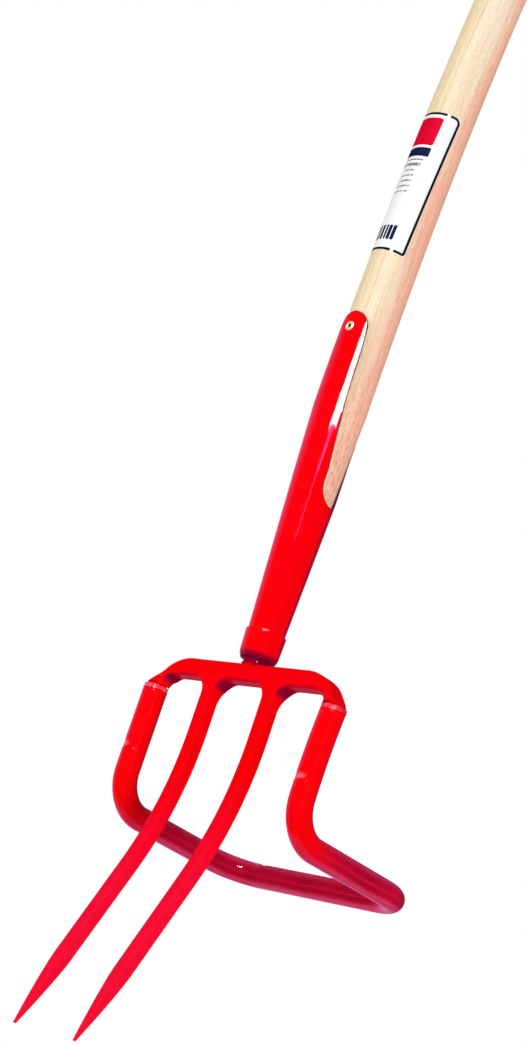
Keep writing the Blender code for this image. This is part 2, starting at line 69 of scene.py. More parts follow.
# %% [markdown]
# The photograph was taken from in front, from the right and from below, with the camera rolled. The
# camera's place and turn below come from fitting the model's outlines to it. The long side of the picture
# spans the sensor's 36 mm.

# %% Set up the camera
CAMERA_PLACE = (1068.3, -1057.4, -333.2)
CAMERA_TURN = (107.439, -18.013, 40.679)
CAMERA_LENS = 71.43

camera_data = bpy.data.cameras.new("camera")
camera_data.sensor_width = 36.0
camera_data.lens = CAMERA_LENS
camera_data.clip_end = 100.0
camera = bpy.data.objects.new("camera", camera_data)
camera.location = Vector(CAMERA_PLACE) * MM
camera.rotation_euler = [radians(turn) for turn in CAMERA_TURN]
bpy.context.scene.collection.objects.link(camera)
bpy.context.scene.camera = camera
bpy.context.scene.view_settings.view_transform = "Standard"
print("camera", round(camera.location.length, 2), "m from the crossbar")

# %% [markdown]
# A finish is a tree of shader nodes. Written out node by node, a tree is long and hard to read, so three
# small classes help. A Field wraps one output socket, and plus, minus, times and the comparisons on it add
# Math nodes. A Graph adds any other node from its type, its settings and the values or links of its
# sockets. A Finish is the graph of one material.


# %% Write shader maths as expressions
class Field:
    """The output of a node, or a step of maths on it."""

    def __init__(self, graph, socket):
        self.graph = graph
        self.socket = socket

    def maths(self, operation, *values):
        return self.graph.add("ShaderNodeMath", {"operation": operation}, dict(enumerate(values)))

    def __add__(self, other):
        return self.maths("ADD", self, other)

    __radd__ = __add__

    def __sub__(self, other):
        return self.maths("SUBTRACT", self, other)

    def __rsub__(self, other):
        return self.maths("SUBTRACT", other, self)

    def __mul__(self, other):
        return self.maths("MULTIPLY", self, other)

    __rmul__ = __mul__

    def __gt__(self, other):
        return self.maths("GREATER_THAN", self, other)

    def __lt__(self, other):
        return self.maths("LESS_THAN", self, other)

    def __abs__(self):
        return self.maths("ABSOLUTE", self)

    def largest(self, other):
        return self.maths("MAXIMUM", self, other)

    def smallest(self, other):
        return self.maths("MINIMUM", self, other)

    def root(self):
        return self.maths("SQRT", self)

    def fraction(self):
        return self.maths("FRACT", self)

    def output(self, name):
        """Another output of the same node."""
        return Field(self.graph, self.socket.node.outputs[name])


class Graph:
    """A node tree that nodes are added to."""

    def __init__(self, tree):
        self.tree = tree

    def feed(self, socket, value):
        if isinstance(value, Field):
            self.tree.links.new(value.socket, socket)
        else:
            socket.default_value = value

    def add(self, kind, settings=None, sockets=None, output=0):
        """Add a node: its settings first, then what its sockets hold or are linked to."""
        node = self.tree.nodes.new(kind)
        for name, value in (settings or {}).items():
            setattr(node, name, value)
        for name, value in (sockets or {}).items():
            self.feed(node.inputs[name], value)
        return Field(self, node.outputs[output])

    def mix(self, share, first, second):
        """Go from the first colour to the second."""
        return self.add("ShaderNodeMix", {"data_type": "RGBA"}, {0: share, 6: first, 7: second}, 2)

    def rise(self, value, low, high):
        """Nought below low, one above high and a soft slope between them."""
        return self.add("ShaderNodeMapRange", {"interpolation_type": "SMOOTHSTEP"},
                        {"Value": value, "From Min": low, "From Max": high})

    def mix_shaders(self, share, first, second):
        """Go from the first shader to the second."""
        return self.add("ShaderNodeMixShader", {}, {0: share, 1: first, 2: second}, "Shader")

    def axes(self, vector):
        """The X, Y and Z of a vector, each as a field."""
        parts = self.add("ShaderNodeSeparateXYZ", {}, {0: vector})
        return [parts.output(axis) for axis in "XYZ"]

    def vector_maths(self, operation, first, second, output=0):
        return self.add("ShaderNodeVectorMath", {"operation": operation}, {0: first, 1: second}, output)

    def stretched(self, place, scales):
        """The same place with each axis scaled by its own number."""
        return self.vector_maths("MULTIPLY", place, scales)

    def distance(self, place, centre):
        return self.vector_maths("DISTANCE", place, centre, "Value")

    def towards(self, vector, direction):
        """How far a vector reaches in a direction."""
        return self.vector_maths("DOT_PRODUCT", vector, direction, "Value")

    def clouds(self, place, scale, detail=2.0, roughness=0.5):
        return self.add("ShaderNodeTexNoise", {},
                        {"Vector": place, "Scale": scale, "Detail": detail, "Roughness": roughness})


class Finish(Graph):
    """A material whose shader is one Principled BSDF."""

    def __init__(self, name, **constants):
        self.material = bpy.data.materials.new(name)
        self.material.use_nodes = True
        super().__init__(self.material.node_tree)
        self.shader = self.tree.nodes["Principled BSDF"]
        for key, value in constants.items():
            self.set(**{key.replace("_", " ").title().replace("Ior", "IOR"): value})
        self.place = self.add("ShaderNodeTexCoord", output="Object")

    def set(self, **sockets):
        for name, value in sockets.items():
            self.feed(self.shader.inputs[name], value)

    def facing(self):
        """The way that the surface looks."""
        return self.add("ShaderNodeNewGeometry", output="Normal")

    def relief(self, height, depth, strength=1.0):
        """Raise and lower the surface by the height field, which spans a depth in millimetres."""
        sockets = {"Height": height, "Distance": depth * MM, "Strength": strength}
        return self.add("ShaderNodeBump", {}, sockets, "Normal")


print("classes ready:", Field.__name__, Graph.__name__, Finish.__name__)

# %% [markdown]
# A product photograph of this kind has no visible floor or wall. A white world does that. Rays from the
# camera see full white everywhere. Mirror-like rays see the same white only low down on the left, where a
# sheet of paper stands. The rest of the studio is dim, and all of it has the pink cast of a warm flash. The
# light that falls on the object from above is weak, and more comes up from the pale floor.

# %% Make the white surroundings
world = bpy.data.worlds.new("white_room")
world.use_nodes = True
bpy.context.scene.world = world
room = Graph(world.node_tree)
CEILING_LIGHT = 0.12
FLOOR_LIGHT = 0.58
DIM_CEILING = 0.12
PURE_WHITE = (1.0, 1.0, 1.0, 1.0)
FLASH_CAST = (1.0, 0.42, 0.85, 1.0)
HORIZON_BLUR = 0.1
PAPER_SIDE = (-0.98, 0.19, 0.0)
PAPER_TOP = (0.32, 0.5)
PAPER_EDGE = (0.5, 0.85)
seen = room.add("ShaderNodeLightPath", output="Is Camera Ray")
mirrored = seen.output("Is Glossy Ray") + seen.output("Is Transmission Ray")
direction = room.add("ShaderNodeTexCoord", output="Generated")
height = room.axes(direction)[2]
from_below = 1.0 - room.rise(height, -HORIZON_BLUR, HORIZON_BLUR)
falling = CEILING_LIGHT + from_below * (FLOOR_LIGHT - CEILING_LIGHT)
below_paper_top = 1.0 - room.rise(height, *PAPER_TOP)
on_paper_side = room.rise(room.towards(direction, PAPER_SIDE), *PAPER_EDGE)
in_the_gloss = DIM_CEILING + below_paper_top * on_paper_side * (1.0 - DIM_CEILING)
strength = falling + seen * (1.0 - falling) + mirrored * (in_the_gloss - falling)
background = room.tree.nodes["Background"]
room.feed(background.inputs["Color"], room.mix(mirrored, PURE_WHITE, FLASH_CAST))
room.feed(background.inputs["Strength"], strength)
print("light from above", CEILING_LIGHT, "and from below", FLOOR_LIGHT)

# %% [markdown]
# The camera looks up from below the tips, so a floor just under the tips would hide the fork. The floor
# lies a little below the camera instead. The light that it gives back and its mirror image are the world's,
# from below, so the floor itself lets both through. It is nearly as white as the room, still shows the
# fork's shadow, and is clear from below.

# %% Paint the floor
FLOOR_WHITE = (0.93, 0.93, 0.93, 1.0)
FLOOR_PALENESS = 0.86
floor_finish = Finish("floor_paint", base_color=FLOOR_WHITE, roughness=0.9, specular_ior_level=0.1)
painted = Field(floor_finish, floor_finish.shader.outputs["BSDF"])
shining = floor_finish.add("ShaderNodeEmission", {}, {"Color": PURE_WHITE, "Strength": 1.0}, "Emission")
clear = floor_finish.add("ShaderNodeBsdfTransparent", {}, {"Color": PURE_WHITE}, "BSDF")
floor_seen = floor_finish.add("ShaderNodeLightPath", output="Is Camera Ray")
from_under = floor_finish.add("ShaderNodeNewGeometry", output="Backfacing")
lit_floor = floor_finish.mix_shaders(floor_seen * FLOOR_PALENESS, painted, shining)
open_below = floor_finish.mix_shaders(from_under, lit_floor, clear)
floor_finish.feed(floor_finish.tree.nodes["Material Output"].inputs["Surface"], open_below)
print(floor_finish.material.name)

# %% Lay the floor
FLOOR_Z = -0.36
FLOOR_REACH = 40.0
shape = bmesh.new()
bmesh.ops.create_grid(shape, x_segments=1, y_segments=1, size=FLOOR_REACH)
bmesh.ops.translate(shape, verts=shape.verts[:], vec=(0.0, 0.0, FLOOR_Z))
floor_mesh = bpy.data.meshes.new("floor")
shape.to_mesh(floor_mesh)
shape.free()
floor = bpy.data.objects.new("floor", floor_mesh)
bpy.context.scene.collection.objects.link(floor)
floor_mesh.materials.append(floor_finish.material)
floor.visible_diffuse = False
floor.visible_glossy = False
print("floor at", FLOOR_Z, "m")

# %% [markdown]
# Two soft boxes at the fork's own height light it, one from the left of its front and one from the right. A
# lamp's power is given as a level: at level 1, a white face that looks at the lamp comes out white. Three
# cards shine in the gloss only, as a photographer's cards do. The tall one stands above the camera, and the
# strap mirrors it as one clean streak. The ones below it are dimmer and give the socket its soft line.


# %% Hang the lamps
FORK_MIDDLE = Vector((0.0, 0.02, 0.12))
BOX_RISE = radians(7.0)
BOX_DISTANCE = 3.0
BOX_SIZE = 1.3
CARD_DISTANCE = 2.4
WHITE_CARD = (1.0, 1.0, 1.0)
PINK_CARD = (0.9, 0.2, 1.0)


def hang(name, place, aim, width, height, watts):
    """An area lamp that faces a point and doesn't show in the picture itself."""
    lamp = bpy.data.lights.new(name, "AREA")
    lamp.shape = "RECTANGLE"
    lamp.size = width
    lamp.size_y = height
    lamp.energy = watts
    box = bpy.data.objects.new(name, lamp)
    box.location = place
    box.rotation_euler = (Vector(aim) - Vector(place)).to_track_quat("-Z", "Y").to_euler()
    box.visible_camera = False
    bpy.context.scene.collection.objects.link(box)
    return box


def soft_box(name, azimuth, level):
    """A lamp round the fork, some degrees to the right of its front."""
    turn = radians(azimuth)
    place = FORK_MIDDLE + BOX_DISTANCE * Vector((
        sin(turn) * cos(BOX_RISE), -cos(turn) * cos(BOX_RISE), sin(BOX_RISE)))
    box = hang(name, place, FORK_MIDDLE, BOX_SIZE, BOX_SIZE, level * pi**2 * BOX_DISTANCE**2)
    box.visible_glossy = False


def gloss_card(name, azimuth, width, low, high, radiance, colour):
    """An upright card between two heights that only mirror-like rays see."""
    turn = radians(azimuth)
    middle = (low + high) / 2
    place = Vector((sin(turn) * CARD_DISTANCE, -cos(turn) * CARD_DISTANCE, middle))
    card = hang(name, place, (0.0, 0.0, middle), width, high - low, pi * width * (high - low) * radiance)
    card.visible_diffuse = False
    card.data.color = colour
    return card


soft_box("left_box", azimuth=-24.0, level=0.54)
soft_box("right_box", azimuth=70.0, level=0.69)
CARDS = (
    # The name, degrees to the right, width, lower and upper edge in metres, radiance and colour.
    ("high_card", 33.0, 1.15, 0.88, 1.52, 110.0, WHITE_CARD),
    ("middle_card", 32.0, 0.46, 0.74, 0.885, 17.0, PINK_CARD),
    ("low_card", 31.0, 0.4, 0.6, 0.74, 6.0, PINK_CARD),
)
cards = [gloss_card(*card) for card in CARDS]

# %% [markdown]
# The steel is dipped or sprayed in gloss enamel. Such paint isn't quite even: it has a fine orange peel, it
# is a little thinner in places, and its gloss varies where it was handled. One function mixes the paint for
# every red piece, and small ones before it add what only some pieces have. Each shade is a colour that a
# painter would name, and the shades are mixed by where a place lies and which way it faces. Several of them
# are painted shade, painted sheen and painted highlights.

# %% Name the enamel's shades
ENAMEL_RED = (0.96, 0.0, 0.002, 1.0)
ENAMEL_THIN = (0.90, 0.0, 0.008, 1.0)
ENAMEL_BACK_SHADE = (0.64, 0.004, 0.035, 1.0)
ENAMEL_PALE = (0.95, 0.005, 0.036, 1.0)
ENAMEL_COLLAR_SHADE = (0.16, 0.0, 0.025, 1.0)
ENAMEL_SHEEN = (0.93, 0.06, 0.19, 1.0)
ENAMEL_HIGHLIGHT = (0.96, 0.20, 0.32, 1.0)
ENAMEL_SHADE = (0.22, 0.0, 0.035, 1.0)
ENAMEL_DARK_BAND = (0.27, 0.0, 0.02, 1.0)
BEAD_RED = (0.95, 0.0, 0.01, 1.0)
BEAD_PALE = (0.94, 0.30, 0.42, 1.0)
EDGE_SHADE = (0.14, 0.012, 0.03, 1.0)
EDGE_SHADE_BLACK = (0.04, 0.006, 0.02, 1.0)
print("shades from", ENAMEL_PALE[:3], "to", ENAMEL_COLLAR_SHADE[:3])

# %% [markdown]
# The paint is darkened between two heights under the collar, round the neck and its weld, as painted shade.
# The flank that looks back and to the right, away from the lamps, is darkened as painted shade. The tines
# are a little paler towards the points, and the corners under the crossbar are darkened as painted shade.

# %% Paint shade under the collar and on the far flank
COLLAR_SHADE_FOOT = (7.0, 7.8)
COLLAR_SHADE_TOP = (13.5, 18.5)
SHADED_FLANK = (0.695, 0.719, 0.0)
SHADED_FLANK_EDGE = (0.78, 0.99)
PALE_HEIGHTS = (-190.0, -70.0)
CORNER_SHADE_HEIGHTS = (-34.0, -18.0)
FACING_DOWN = (-0.6, -0.25)
FACING_RIGHT = (0.1, 0.5)


def shade_under_collar(paint, coat, height):
    """Paint shade between two heights, under the collar and round the neck's weld."""
    # Painted shade under the collar.
    under_collar = paint.rise(height, *COLLAR_SHADE_FOOT) * (1.0 - paint.rise(height, *COLLAR_SHADE_TOP))
    return paint.mix(under_collar * 0.85, coat, ENAMEL_COLLAR_SHADE)


def shade_far_flank(paint, coat, thin, share):
    """Darken, as painted shade, the flank that looks back and to the right, away from the lamps."""
    sideways = paint.towards(paint.facing(), SHADED_FLANK) + (thin - 0.5) * 0.03
    return paint.mix(paint.rise(sideways, *SHADED_FLANK_EDGE) * share, coat, ENAMEL_SHADE)


def shade_forging(paint, coat, height):
    """Paler tines towards the points, and painted shade in the corners under the crossbar."""
    coat = paint.mix(1.0 - paint.rise(height, *PALE_HEIGHTS), coat, ENAMEL_PALE)
    sideways, _, upwards = paint.axes(paint.facing())
    underneath = (1.0 - paint.rise(upwards, *FACING_DOWN)) * paint.rise(height, *CORNER_SHADE_HEIGHTS)
    corner = paint.rise(sideways, *FACING_RIGHT)
    # Painted shade in the down-facing corners under the crossbar.
    return paint.mix(underneath * (0.3 + corner * 0.55), coat, ENAMEL_SHADE)


# The flank that gets the painted shade looks this way.
print("the flank of the runs looks towards", SHADED_FLANK)

# %% [markdown]
# The lever is a deeper red behind, as painted shade. On its arms and its rear bar two dark bands run along
# the tube, set by which way its face looks, as painted shade, and it is paler on top and below, as painted
# sheen. Three spots beside the jaw dents, two on the legs and one on the rear bar, are painted highlights.

# %% Shade the lever
BACK_SHADE_DEPTHS = (2.0, 60.0)
DARK_BANDS = (
    # How far the tube's face looks up where a painted dark band starts, is full, fades and ends.
    (-0.66, -0.5, -0.32, -0.22), (-0.14, 0.0, 0.5, 0.75),
)
SHEEN_BELOW = (-0.88, -0.6)
SHEEN_ON_TOP = (0.25, 0.85)
DENT_HIGHLIGHTS = ((-96.2, -6.6, -67.0), (87.2, -7.2, -72.0), (-66.0, 141.0, -109.0))
HIGHLIGHT_SQUEEZE = (1.0, 1.0, 2.6)
HIGHLIGHT_REACH = (1.0, 8.0)


def shade_arms(paint, coat, thin):
    """Painted shade towards the back and in two dark bands along the tube, and painted sheen below and on
    top.
    """
    depth = paint.axes(paint.place)[1] * (1.0 / MM) + (thin - 0.5) * 12.0
    # Painted shade towards the back of the lever.
    back_shade = paint.rise(depth, *BACK_SHADE_DEPTHS)
    coat = paint.mix(back_shade, coat, ENAMEL_BACK_SHADE)
    upwards = paint.axes(paint.facing())[2] + (thin - 0.5) * 0.1
    dark_bands = 0.0
    for start, full, fading, end in DARK_BANDS:
        dark_bands = paint.rise(upwards, start, full) * (1.0 - paint.rise(upwards, fading, end)) + dark_bands
    # Two dark bands of painted shade along the tube.
    coat = paint.mix(dark_bands * back_shade * (0.32 + thin * 0.3), coat, ENAMEL_DARK_BAND)
    # Painted sheen below and on top of the tube.
    underneath = 1.0 - paint.rise(upwards, *SHEEN_BELOW)
    coat = paint.mix(underneath * (0.25 + back_shade * 0.6), coat, ENAMEL_SHEEN)
    return paint.mix(paint.rise(upwards, *SHEEN_ON_TOP) * back_shade * 0.5, coat, ENAMEL_SHEEN)


def paint_dent_highlights(paint, coat, handled):
    """Paint pale highlights beside the jaw dents, on the legs and the rear bar."""
    # Pale pink spots beside the jaw dents, as painted highlights.
    for highlight_place in DENT_HIGHLIGHTS:
        centre = [value * squeeze * MM for value, squeeze in zip(highlight_place, HIGHLIGHT_SQUEEZE)]
        gap = paint.distance(paint.stretched(paint.place, HIGHLIGHT_SQUEEZE), centre) * (1.0 / MM)
        lit_spot = 1.0 - paint.rise(gap + (handled - 0.5) * 4.0, *HIGHLIGHT_REACH)
        coat = paint.mix(lit_spot * 0.7, coat, ENAMEL_HIGHLIGHT)
    return coat


print(len(DARK_BANDS), "streaks,", len(DENT_HIGHLIGHTS), "scuffs")

# %% [markdown]
# The clear top gloss is the shader's coat. Its low refraction keeps the faces a pure red and lets the rims
# shine. A sheet's cut edge gets an enamel of its own, nearly black, as painted shade on the edge.

# %% Mix the red enamel
CLEAR_IOR = 1.24


def mix_enamel(name, gloss, lumps, full=ENAMEL_RED, thinned=ENAMEL_THIN, patches=28.0, clear=1.0, painted_shade=0.0,
               piece=""):
    """Enamel. Gloss is the roughness of its top, lumps how uneven the steel under it is, in millimetres."""
    paint = Finish(name, specular_ior_level=0.0, coat_weight=clear, coat_roughness=gloss, coat_ior=CLEAR_IOR)
    thin = paint.rise(paint.clouds(paint.place, patches, 3.0), 0.35, 0.7)
    handled = paint.rise(paint.clouds(paint.place, 90.0, 4.0, 0.6), 0.45, 0.75)
    height = paint.axes(paint.place)[2] * (1.0 / MM) + (thin - 0.5) * 0.8
    coat = paint.mix(thin * 0.4, full, thinned)
    if piece == "lever":
        coat = paint_dent_highlights(paint, shade_arms(paint, coat, thin), handled)
    # Painted shade on the flank away from the lamps.
    if painted_shade > 0:
        coat = shade_far_flank(paint, coat, thin, painted_shade)
    if piece == "forging":
        coat = shade_forging(paint, coat, height)
    paint.set(**{"Base Color": shade_under_collar(paint, coat, height), "Roughness": 0.3 + 0.15 * handled})
    peel = paint.clouds(paint.place, 420.0, 1.0)
    sag = paint.clouds(paint.place, 26.0, 2.0)
    paint.set(Normal=paint.relief(peel * 0.05 + sag, lumps))
    return paint


enamel = mix_enamel("red_enamel", gloss=0.02, lumps=0.02, painted_shade=0.85)
forged_enamel = mix_enamel("forged_enamel", gloss=0.12, lumps=0.2, clear=0.25, piece="forging")
lever_enamel = mix_enamel("lever_enamel", gloss=0.06, lumps=0.05, painted_shade=0.65, piece="lever")
bead_enamel = mix_enamel("bead_enamel", gloss=0.08, lumps=0.08, full=BEAD_RED, thinned=BEAD_PALE,
                         patches=120.0)
shaded_edge_enamel = mix_enamel("shaded_edge_enamel", gloss=0.3, lumps=0.05, full=EDGE_SHADE, thinned=EDGE_SHADE_BLACK, clear=0.3)
enamels = (enamel, forged_enamel, lever_enamel, bead_enamel, shaded_edge_enamel)
print([paint.material.name for paint in enamels])

# %% [markdown]
# Ash has wide rings of open early wood and dense late wood, so a turned handle shows long straight lines
# with dark pores in them. The handle is bent after turning, and its grain bends with it. Each vertex
# therefore keeps the place that it had before the bend in an attribute, and the pattern reads that. The
# front-left side is painted yellower, as painted light, and a band round the right side is painted pink, as
# painted shade.

# %% Grow the ash
ASH_LATE = (0.93, 0.79, 0.60, 1.0)
ASH_EARLY = (0.87, 0.64, 0.40, 1.0)
ASH_LIT_YELLOW = (0.92, 0.76, 0.44, 1.0)
ASH_STREAK = (0.62, 0.31, 0.18, 1.0)
ASH_SHADE_PINK = (0.98, 0.43, 0.31, 1.0)
PORE_BROWN = (0.56, 0.33, 0.18, 1.0)
PITH = (-0.052, 0.046, 0.0)
RING_WIDTH = 0.0031
HANDLE_RADIUS = 20.0
PINK_SHADE_SIDE = (0.906, 0.423, 0.0)
LIT_YELLOW_SIDE = (-0.77, -0.64, 0.0)
BACK_SIDE = (-0.34, 0.94, 0.0)
LOW_DOWN = (0.15, 0.26)
HIGH_UP = (0.4, 0.75)

ash = Finish("ash", specular_ior_level=0.02)
straight = ash.add("ShaderNodeAttribute", {"attribute_name": "straight_place"}, output="Vector")


def along_grain(scale, detail, squeeze, roughness=0.5):
    """Clouds that are drawn out along the handle."""
    return ash.clouds(ash.stretched(straight, (1.0, 1.0, squeeze)), scale, detail, roughness)


def to_side(side):
    """Nought at the handle's axis and one at its skin on the given side."""
    return ash.towards(straight, side) * (1.0 / (HANDLE_RADIUS * MM))


wander = ash.clouds(ash.stretched(straight, (9.0, 9.0, 2.2)), 1.0, 2.0) - 0.5
pith_distance = ash.distance(ash.stretched(straight, (1.0, 1.0, 0.0)), PITH)
ring = ((pith_distance + wander * 0.009) * (1.0 / RING_WIDTH)).fraction()
early = ash.rise(ring, 0.45, 0.95)
streak = along_grain(900.0, 3.0, 0.02, 0.6)
pore = ash.rise(along_grain(2100.0, 1.0, 0.035), 0.6, 0.68) * early
patch = along_grain(55.0, 3.0, 0.25)
mottle = along_grain(330.0, 2.0, 0.25, 0.6)
fleck = ash.rise(along_grain(620.0, 2.0, 0.28, 0.6), 0.5, 0.66)
print("rings", round(RING_WIDTH / MM, 1), "mm wide")

# %% Colour the ash
height = ash.axes(straight)[2]
low_down = 1.0 - ash.rise(height, *LOW_DOWN)
high_up = ash.rise(height, *HIGH_UP)
blotch = (patch - 0.5) * 0.6 + (mottle - 0.5) * (0.5 + low_down * 2.2)
# Painted shade: a pink band round the right side, where the light falls away.
pink_shade = ash.rise(to_side(PINK_SHADE_SIDE) + blotch + low_down * 0.2 - high_up * 0.3, 0.4, 1.0)
round_the_back = ash.rise(to_side(BACK_SIDE) + blotch, 0.35, 0.85)
pink_shade = pink_shade * (1.0 - round_the_back * 0.85)
# Painted light: the front-left side, where the light falls, is yellower.
yellow_light = ash.rise(to_side(LIT_YELLOW_SIDE) + (patch - 0.5) * 0.6, 0.1, 0.9)
wood = ash.mix(early * 0.8, ASH_LATE, ASH_EARLY)
wood = ash.mix(yellow_light * 0.7, wood, ASH_LIT_YELLOW)
wood = ash.mix(pink_shade * 0.8, wood, ASH_SHADE_PINK)
wood = ash.mix(ash.rise(streak, 0.45, 0.7) * 0.25, wood, ASH_STREAK)
wood = ash.mix(fleck * (0.16 + low_down * 0.4 + pink_shade * 0.2), wood, ASH_STREAK)
wood = ash.mix(pore * 0.45, wood, PORE_BROWN)
ash.set(**{"Base Color": wood, "Roughness": 0.45 + 0.14 * streak + 0.1 * pore})
ash.set(Normal=ash.relief(0.6 * streak - pore, 0.05, 0.5))
print(ash.material.name)

# %% [markdown]
# The rivet is plated steel with a yellow tinge. Its rolled edge is polished by the setting tool, and its
# bore is painted dark, as painted shade in the hole.

# %% Plate the rivet
RIVET_Z = 284.0
RIVET_SHANK = 2.6
BORE_EDGE = (1.45, 1.9)
PLATE_BRIGHT = (0.90, 0.80, 0.52, 1.0)
PLATE_STAINED = (0.80, 0.62, 0.34, 1.0)
BORE_SHADE = (0.05, 0.045, 0.02, 1.0)

plating = Finish("plated_steel")
brushed = plating.clouds(plating.stretched(plating.place, (1.0, 0.2, 1.0)), 1800.0, 3.0)
stain = plating.rise(plating.clouds(plating.place, 500.0, 3.0), 0.4, 0.7)
flat_place = plating.stretched(plating.place, (1.0, 0.0, 1.0))
from_bore = plating.distance(flat_place, (0.0, 0.0, RIVET_Z * MM)) * (1.0 / MM)
on_rim = plating.rise(from_bore, *BORE_EDGE)
plated = plating.mix(stain, PLATE_BRIGHT, PLATE_STAINED)
# The bore is painted dark, as painted shade in the hole.
plating.set(**{
    "Base Color": plating.mix(on_rim, BORE_SHADE, plated),
    "Roughness": 0.42 + 0.2 * stain,
    "Metallic": on_rim * 0.6,
})
plating.set(Normal=plating.relief(brushed, 0.02, 0.4))
print(plating.material.name)

# %% [markdown]
# The label is a strip of coated white paper with a dark frame. Its print here is plain blocks: a red panel
# with a dark band under it, some grey rules and a row of bars. The pattern is drawn with distances on the
# label's own UV map, which is turned into millimetres, so that every line keeps its width round the handle.

# %% Print the label
LABEL_WIDTH = 48.0
LABEL_HEIGHT = 130.0
FRAME_INSET = 1.3
FRAME_LINE = 2.2
FOOT_CORNER = 1.6
HEAD_CORNER = 4.2
FRAME_BREAK = (11.3, 14.3)
LINE_BLUR = 0.2
INK_DARK = (0.008, 0.008, 0.012, 1.0)
INK_RED = (0.74, 0.002, 0.03, 1.0)
INK_BLUE = (0.010, 0.014, 0.055, 1.0)
INK_GREY = (0.16, 0.18, 0.26, 1.0)
PAPER_WHITE = (0.93, 0.93, 0.93, 1.0)
PAPER_FIBRE = (0.80, 0.78, 0.72, 1.0)

paper = Finish("label_paper", specular_ior_level=0.01)
sheet_x, sheet_y, _ = paper.axes(paper.add("ShaderNodeUVMap", {"uv_map": "sheet"}, output="UV"))
along = (sheet_x - 0.5) * LABEL_WIDTH
up = (sheet_y - 0.5) * LABEL_HEIGHT
side_gap = abs(along)


def panel(low, high, half_width, shift=0.0, corner=0.2):
    """One inside a block with rounded corners, nought outside it. Heights count from the label's foot."""
    middle = (low + high - LABEL_HEIGHT) / 2
    beside = (abs(along - shift) - (half_width - corner)).largest(0.0)
    beyond = (abs(up - middle) - ((high - low) / 2 - corner)).largest(0.0)
    return (beside * beside + beyond * beyond) < corner * corner


corner = FOOT_CORNER + (up > 0.0) * (HEAD_CORNER - FOOT_CORNER)
past_side = side_gap - (LABEL_WIDTH / 2 - FRAME_INSET) + corner
past_end = abs(up) - (LABEL_HEIGHT / 2 - FRAME_INSET) + corner
corner_x = past_side.largest(0.0)
corner_z = past_end.largest(0.0)
to_corner = (corner_x * corner_x + corner_z * corner_z).root()
from_frame = abs(to_corner + past_side.largest(past_end).smallest(0.0) - corner)
gap = (side_gap > FRAME_BREAK[0]) * (side_gap < FRAME_BREAK[1]) * (past_end > past_side)
off_line = paper.rise(from_frame, FRAME_LINE / 2 - LINE_BLUR, FRAME_LINE / 2 + LINE_BLUR)
frame_line = (1.0 - off_line) * (1.0 - gap)
print("frame drawn", FRAME_LINE, "mm wide")

# %% Fill in the label's blocks
RED_PANEL = (98.2, 124.6)
BLUE_BAND = (87.5, 95.8)
THIN_RULE = 1.3
THICK_RULE = 3.0
RULES = (
    # The rule's foot, half its width, and its height.
    (83.5, 9.5, THIN_RULE), (78.0, 9.0, THICK_RULE), (73.5, 5.5, THIN_RULE), (68.5, 7.0, THIN_RULE),
    (63.5, 8.0, THIN_RULE), (58.5, 7.5, THIN_RULE), (53.5, 7.5, THIN_RULE),
)
# Each bar's middle and half its width.
BARS = ((-8.0, 1.3), (-4.2, 1.1), (-0.4, 1.4), (3.3, 1.0), (6.6, 1.5), (10.4, 1.5))
BARS_FOOT = 9.8
BARS_HEAD = 22.6
PRINT_SHIFT = -1.9
PRINT_HALF = 12.3

fibres = paper.clouds(paper.place, 260.0, 3.0)
bare_paper = paper.mix(fibres * 0.1, PAPER_WHITE, PAPER_FIBRE)
blocks = paper.mix(panel(*RED_PANEL, PRINT_HALF, PRINT_SHIFT, corner=2.2), bare_paper, INK_RED)
blocks = paper.mix(panel(*BLUE_BAND, PRINT_HALF, PRINT_SHIFT, corner=0.8), blocks, INK_BLUE)
rules = 0.0
for foot, half_width, rule_height in RULES:
    rules = panel(foot, foot + rule_height, half_width, PRINT_SHIFT, corner=0.4) + rules
bars = 0.0
for centre, half_width in BARS:
    bars = panel(BARS_FOOT, BARS_HEAD, half_width, centre + PRINT_SHIFT) + bars
dashes = paper.rise(paper.clouds(paper.stretched(paper.place, (1.0, 1.0, 0.15)), 700.0, 1.0), 0.4, 0.5)
blocks = paper.mix(rules * (0.35 + dashes * 0.6), blocks, INK_GREY)
blocks = paper.mix(bars, blocks, INK_BLUE)
ink = paper.mix(frame_line, blocks, INK_DARK)
paper.set(**{"Base Color": ink, "Roughness": 0.45 + 0.1 * fibres})
paper.set(Normal=paper.relief(paper.clouds(paper.place, 60.0, 3.0), 0.12, 0.4))
print(len(BARS), "bars,", len(RULES), "rules")

# %% [markdown]
# Every piece starts as a bmesh, is shaped by operators and ends as an object at the origin that rides on
# the fork's one body. A few helpers cover most of them. One spins a line of radius and height points into a
# turned shape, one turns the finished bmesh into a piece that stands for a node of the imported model, and
# one gives an open skin its wall.


# %% Turn shapes and finish pieces
def point(x, y, z):
    """A place given in millimetres."""
    return Vector((x, y, z)) * MM


def turned(outline, steps, ring=True):
    """Spin radius and height points once round Z. A ring's outline closes, others end on the axis."""
    made = bmesh.new()
    line = [made.verts.new(point(radius, 0.0, height)) for radius, height in outline]
    pairs = list(zip(line, line[1:]))
    if ring:
        pairs.append((line[-1], line[0]))
    edges = [made.edges.new(pair) for pair in pairs]
    bmesh.ops.spin(made, geom=line + edges, cent=(0.0, 0.0, 0.0), axis=(0.0, 0.0, 1.0), angle=2 * pi,
                   steps=steps, use_merge=True)
    bmesh.ops.remove_doubles(made, verts=made.verts[:], dist=0.0005 * MM)
    bmesh.ops.recalc_face_normals(made, faces=made.faces[:])
    return made


def add_shape(made, other):
    """Put a second bmesh into the first and free it."""
    carrier = bpy.data.meshes.new("carrier")
    other.to_mesh(carrier)
    other.free()
    made.from_mesh(carrier)
    bpy.data.meshes.remove(carrier)


